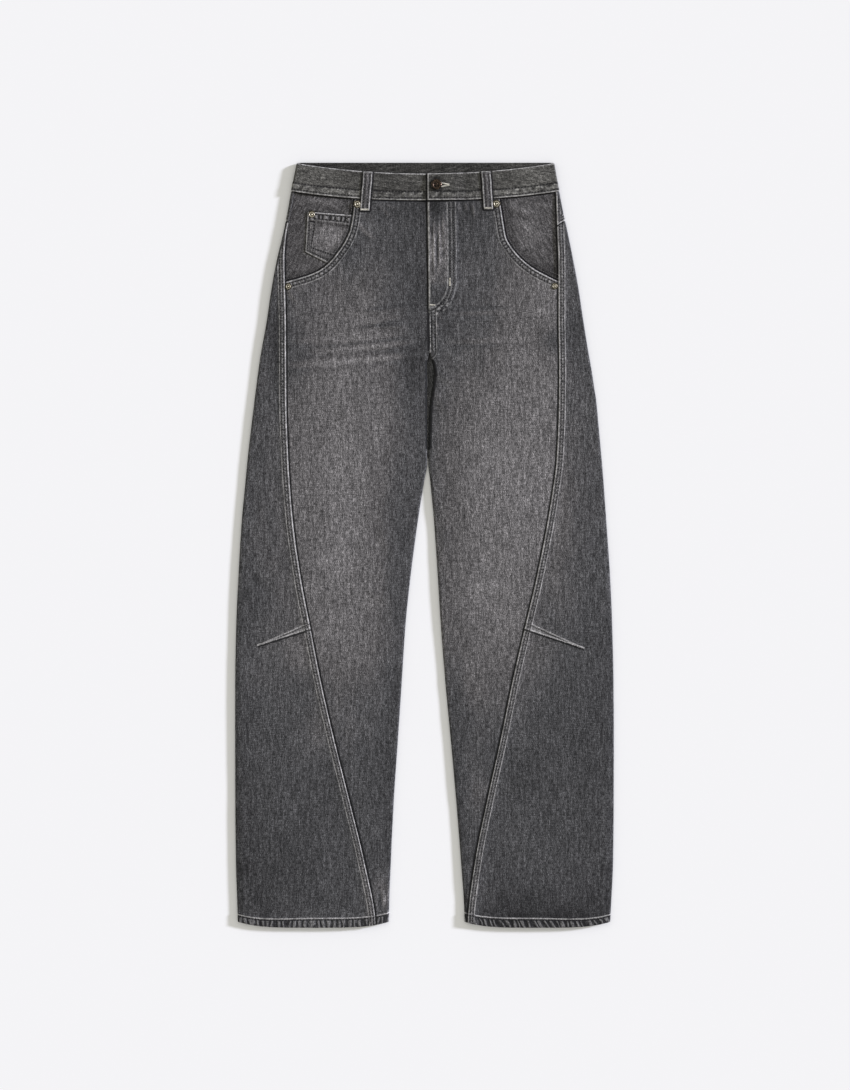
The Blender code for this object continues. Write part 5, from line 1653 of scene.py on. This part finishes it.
for this_side in SIDES:
    rows = []
    for inset in (2.6, 7.6):
        narrow = 5.0
        low_side, low_middle = PATCH_DOWN[1] - PATCH_POINT - inset, PATCH_DOWN[1] - 1.1 * inset
        near, far = PATCH_OUT[0] + inset, PATCH_OUT[1] - inset
        middle = (near + far) / 2
        corners = [(near, PATCH_DOWN[0] + 2), (near + narrow, low_side), (middle, low_middle)]
        corners += [(far - narrow, low_side), (far, PATCH_DOWN[0] + 2)]
        for (out0, down0), (out1, down1) in zip(corners[:-1], corners[1:]):
            rows.append(row_of(Line([this_side * out0, this_side * out1], [down0, down1]), seed=11))
    rows.append(
        row_of(
            Line(this_side * np.array([PATCH_OUT[0] + 2, PATCH_OUT[1] - 2]), [PATCH_DOWN[0] + 13] * 2),
            seed=12
        )
    )
    x, down, way_x, way_down = join_rows(rows)
    sew(f"stitches_back_pocket_{SIDE_NAMES[this_side]}", x, down, 0.1, way_x, way_down, below=True)
    out = np.linspace(8.0, float(SIDES[this_side].at("outer", YOKE_FOLD)) - 6.0, 200)
    rows = [
        row_of(Line(this_side * out, yoke_line(this_side, out, 1.0) + past), seed=13) for past in (-2.4, -6.6)
    ]
    seat = np.linspace(YOKE_MIDDLE - 8.0, LEGS_PART - 4.0, 200)
    rows.append(row_of(Line(np.full(200, this_side * (MIDDLE_SEAM + 3.0)), seat), seed=14))
    x, down, way_x, way_down = join_rows(rows)
    lowest = floor_height(this_side * x, down) + under_relief(x, down)
    sew(f"stitches_seat_{SIDE_NAMES[this_side]}", x, down, lowest, way_x, way_down, below=True)

coin_rows = []
for start, end in (
    ((0.02, 0.05), (1.0, 0.05)),
    ((0.02, 0.2), (1.0, 0.2)),
    ((0.045, 0.22), (0.045, 0.95)),
    ((0.13, 0.24), (0.13, 0.88)),
    ((0.05, 0.955), (1.0, 0.955)),
    ((0.14, 0.87), (1.0, 0.87)),
):
    across, along = (np.linspace(a, b, 60) for a, b in zip(start, end))
    out, down = coin_point(across, along)
    coin_rows.append(row_of(Line(-out, down), seed=10))
x, down, way_x, way_down = join_rows(coin_rows)
sew("stitches_coin_pocket", x, down, coin_height(-x, down) + 0.12, way_x, way_down)
print("stitches so far:", stitch_count)

# %% [markdown]
# ## Bar tacks and the buttonhole
# Where a seam is pulled hard, a machine sews a dense bar of short threads across it. The buttonhole is
# edged in the same way, with a round eye beside the button. These threads are pale, so they shine out.

# %% Bars of dense thread


def bar_tack(name, x0, down0, x1, down1, wide, height_at, lift=0.35):
    """A bar between two points, of threads that lie across it. height_at gives the cloth's height."""
    length = math.hypot(x1 - x0, down1 - down0)
    count = int(length / 0.55)
    share = np.linspace(0, 1, count)
    way_x, way_down = (x1 - x0) / length, (down1 - down0) / length
    x, down = x0 + (x1 - x0) * share, down0 + (down1 - down0) * share
    up = height_at(x, down) + lift
    return sew(name, x, down, up, -way_down, way_x, wide, 0.3, PALE_THREAD)


def left_front_at(x, down):
    return front_height(LEFT, x, down, down)


bar_tack("tack_fly_upright", 35.2, 160.5, 35.2, 171.0, 2.0, left_front_at)
bar_tack("tack_fly_level", 7.5, 197.4, 14.5, 197.8, 1.9, left_front_at)
for this_side in SIDES:
    middle, downs, ups = front_loop_line(this_side)
    end_x, end_down = middle[-1], downs[-1] - 1.6

    def on_loop(x, down, downs=downs, ups=ups):
        return np.interp(down, downs, ups) - 0.1

    bar_tack(f"tack_loop_{SIDE_NAMES[this_side]}", end_x - 5.4, end_down, end_x + 5.4, end_down, 1.9, on_loop)

HOLE_START, HOLE_END, HOLE_DOWN = 23.4, 34.0, 31.6
hole_x = np.linspace(HOLE_START, HOLE_END, 20)
hole_rows = []
for way in (-1, 1):
    aside = 2.3 - 1.7 * ease(0, HOLE_END - HOLE_START, hole_x - HOLE_START)
    hole_rows.append((hole_x, HOLE_DOWN + way * aside, 0.25 * way + 0 * hole_x, np.full(len(hole_x), 1.0)))
x, down, way_x, way_down = join_rows(hole_rows)
sew("buttonhole", x, down, band_height(x, down) + 0.2, way_x, way_down, 1.9, 0.42, PALE_THREAD)
print("stitches in all:", stitch_count)

# %% [markdown]
# ## Button and rivets
# The button is a cast bronze dish with a raised rim, rubbed to copper on its high places. The rivets are
# small brass caps with a stud in the middle. Both are turned forms: a short profile of radii and heights,
# swept round by arrays, with slight dents so that the light breaks on them.

# %% Turned metal
RIVETS = (
    ("rivet_right_top", RIGHT, 93.0, 58.0, 4.1),
    ("rivet_right_side", RIGHT, 188.5, 172.0, 3.4),
    ("rivet_left_top", LEFT, 99.6, 57.5, 4.1),
    ("rivet_left_side", LEFT, 180.5, 171.5, 3.4),
    ("rivet_coin_pocket", RIGHT, 156.0, 72.4, 4.1),
)


def metal(name, base, worn_tone, size):
    """Antique metal: dark in its hollows and rubbed bright in patches."""
    material = bpy.data.materials.new(name)
    material.use_nodes = True
    tree = material.node_tree
    shader = tree.nodes["Principled BSDF"]
    where = node(tree, "ShaderNodeTexCoord").outputs["Object"]
    where = node(tree, "ShaderNodeVectorMath", {0: where, 1: (UV_MM,) * 3}, operation="MULTIPLY").outputs[0]
    patches = noise(tree, where, (size,) * 3, detail=3.0)
    rubbed = calc(tree, "MAXIMUM", attribute(tree, "rubbed"), ramp(tree, patches, 0.58, 0.68, 0.0, 0.7))
    rubbed = calc(tree, "MULTIPLY", rubbed, ramp(tree, patches, 0.25, 0.55, 0.35, 1.0))
    colour = node(tree, "ShaderNodeMix", {"Factor": rubbed}, data_type="RGBA")
    colour.inputs["A"].default_value = (*base, 1.0)
    colour.inputs["B"].default_value = (*worn_tone, 1.0)
    tree.links.new(colour.outputs["Result"], shader.inputs["Base Color"])
    tree.links.new(ramp(tree, patches, 0.3, 0.7, 0.55, 0.3), shader.inputs["Roughness"])
    shader.inputs["Metallic"].default_value = 1.0
    return material


BRONZE = metal("button bronze", (0.014, 0.012, 0.011), (0.34, 0.23, 0.16), 1.3)
BRASS = metal("rivet brass", (0.05, 0.042, 0.03), (0.86, 0.80, 0.64), 1.6)


def turned(name, solid, x, down, up, profile, material, slot, dents, seed, steps=48):
    """A turned piece from rows of radius, height and how rubbed the metal is there."""
    profile = np.array(profile)
    fine = np.linspace(0, len(profile) - 1, 5 * (len(profile) - 1) + 1)
    radius, height, shine = (np.interp(fine, np.arange(len(profile)), profile[:, i]) for i in range(3))
    turn = 2 * np.pi * np.arange(steps + 1) / steps
    ring_x, ring_y = radius[:, None] * np.cos(turn), radius[:, None] * np.sin(turn)
    bumps = dents * hills(ring_x, ring_y, 1.6, seed) * ease(0.3, 0.8, height)[:, None]
    points = placed(x + ring_x, down + ring_y, up + height[:, None] + bumps)
    mesh, _ = grid_mesh(name, points, True)
    values = np.broadcast_to(shine[:, None], points.shape[:2]).astype(np.float32)
    mesh.attributes.new("rubbed", "FLOAT", "POINT").data.foreach_set("value", values.ravel())
    import bmesh

    merged = bmesh.new()
    merged.from_mesh(mesh)
    bmesh.ops.remove_doubles(merged, verts=merged.verts, dist=0.00001)
    bmesh.ops.recalc_face_normals(merged, faces=merged.faces)
    merged.to_mesh(mesh)
    merged.free()
    piece = bpy.data.objects.new(name, mesh)
    bpy.context.scene.collection.objects.link(piece)
    mesh.materials.append(material)
    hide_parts(solid)
    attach(piece, "root")
    return piece


BUTTON_PROFILE = (
    (0.0, 1.75, 0.15), (1.6, 1.75, 0.1), (2.2, 1.45, 0.0), (3.9, 1.5, 0.0), (4.6, 2.1, 0.2),
    (5.6, 2.45, 0.14), (6.5, 2.3, 0.05), (7.3, 1.6, 0.0), (7.4, 1.0, 0.0), (5.4, 0.4, 0.0),
    (5.3, -0.2, 0.0), (0.0, -0.2, 0.0),
)
button_up = WAISTBAND_TOP + OVERLAP_LIFT + 0.3
turned("button_dish", "button", 16.6, 31.2, button_up, BUTTON_PROFILE, BRONZE, "button_bronze", 0.16, 91)
for rivet_name, rivet_side, rivet_out, rivet_down, r in RIVETS:
    rivet_x = rivet_side * rivet_out
    spot = (np.array([rivet_out]), np.array([rivet_down]))
    if rivet_name == "rivet_coin_pocket":
        ground = float(coin_height(*spot)[0])
    else:
        ground = float(front_height(rivet_side, *spot, spot[1])[0]) + 0.15
    # the outer ring from r out to 1.38 r stays unrubbed and dark: painted shade round the cap on the cloth
    profile = (
        (0.0, 1.3, 1.0),
        (0.26 * r, 1.2, 1.0),
        (0.40 * r, 0.5, 0.0),
        (0.60 * r, 0.45, 0.0),
        (0.76 * r, 0.95, 0.75),
        (0.88 * r, 0.95, 0.75),
        (1.0 * r, 0.3, 0.0),
        (1.36 * r, 0.12, 0.0),
        (1.38 * r, -0.3, 0.0),
        (0.0, -0.3, 0.0),
    )
    cap_name = rivet_name.replace("rivet", "cap")
    turned(cap_name, rivet_name, rivet_x, rivet_down, ground, profile, BRASS, "rivet_brass", 0.08, 92, 32)
print("metal pieces:", 1 + len(RIVETS))

# %% [markdown]
# ## The flat cut of each sheet
# Cloth is cut flat, so a table lists every piece with the width, the length and the area of the cut that
# shows, and the share of it that the made piece covers is printed. A back leg is the widest, because it
# comes round the outer fold. The waistband is one long strip that goes all the way round.

CUTS = (
    # piece, width, length (millimetres), area (square metres)
    ("front_right", 209, 1012, 0.136), ("front_left", 186, 1010, 0.119), ("back_right", 436, 984, 0.313),
    ("back_left", 446, 984, 0.322), ("yoke_right", 216, 78, 0.0123), ("yoke_left", 212, 78, 0.0119),
    ("pocket_facing_right", 107, 172, 0.0105), ("pocket_facing_left", 104, 164, 0.0089),
    ("coin_pocket", 71, 74, 0.0038), ("waistband", 37.5, 773, 0.0289),
    ("belt_loop_front_right", 12.5, 54, 0.00067), ("belt_loop_front_left", 12.5, 53, 0.00066),
    ("belt_loop_back_right", 12.5, 54, 0.00067), ("belt_loop_back_middle", 12.5, 54, 0.00067),
    ("belt_loop_back_left", 12.5, 54, 0.00067), ("back_pocket_right", 128, 144, 0.0166),
    ("back_pocket_left", 128, 144, 0.0166),
)
for piece_name, wide, long, area in CUTS:
    piece, made_area = made_pieces[piece_name]
    print(f"{piece_name}: cut {wide} x {long} mm, {made_area / area:.2f} of it made")

# %% [markdown]
# ## Table, light and camera
# The garment lies on a plain pale table. A soft light from the right, low enough for the edge to throw a
# narrow shadow to the left, gives the cloth its relief. Even light from all round fills the shadows.

# %% Table
table_mesh = bpy.data.meshes.new("table")
REACH = 60.0
table_mesh.from_pydata(
    [(-REACH, -REACH, 0), (REACH, -REACH, 0), (REACH, REACH, 0), (-REACH, REACH, 0)], [], [(0, 1, 2, 3)]
)
table = bpy.data.objects.new("table", table_mesh)
bpy.context.scene.collection.objects.link(table)
table_material = bpy.data.materials.new("table")
table_material.use_nodes = True
table_shader = table_material.node_tree.nodes["Principled BSDF"]
table_shader.inputs["Base Color"].default_value = (0.90, 0.90, 0.90, 1.0)
table_shader.inputs["Roughness"].default_value = 0.9
table_shader.inputs["Specular IOR Level"].default_value = 0.0
table_mesh.materials.append(table_material)

# %% Light
world = bpy.data.worlds.new("soft studio")
bpy.context.scene.world = world
world.use_nodes = True
fill = world.node_tree.nodes["Background"]
fill.inputs["Color"].default_value = (0.631, 0.622, 0.585, 1.0)
fill.inputs["Strength"].default_value = 1.0
KEY_HEIGHT = math.radians(15.7)
KEY_TURN = math.radians(18.0)
key = bpy.data.lights.new("key", "SUN")
key.energy = 5.35
key.angle = math.radians(6.0)
key.color = (0.822, 0.832, 0.961)
key_object = bpy.data.objects.new("key", key)
key_object.rotation_euler = (0.0, math.pi / 2 - KEY_HEIGHT, KEY_TURN)
bpy.context.scene.collection.objects.link(key_object)
bpy.context.scene.view_settings.view_transform = "Standard"

# %% Camera
FRAME_HEIGHT = 1.5123
CAMERA_HEIGHT = 3.2
camera = bpy.data.cameras.new("camera")
camera.sensor_fit = "VERTICAL"
camera.sensor_height = 36.0
camera.lens = 36.0 * CAMERA_HEIGHT / FRAME_HEIGHT
camera.clip_end = 200.0
camera_object = bpy.data.objects.new("camera", camera)
camera_object.location = (0.0007, 0.0, CAMERA_HEIGHT)
bpy.context.scene.collection.objects.link(camera_object)
bpy.context.scene.camera = camera_object
print("camera lens:", round(camera.lens, 1), "mm")
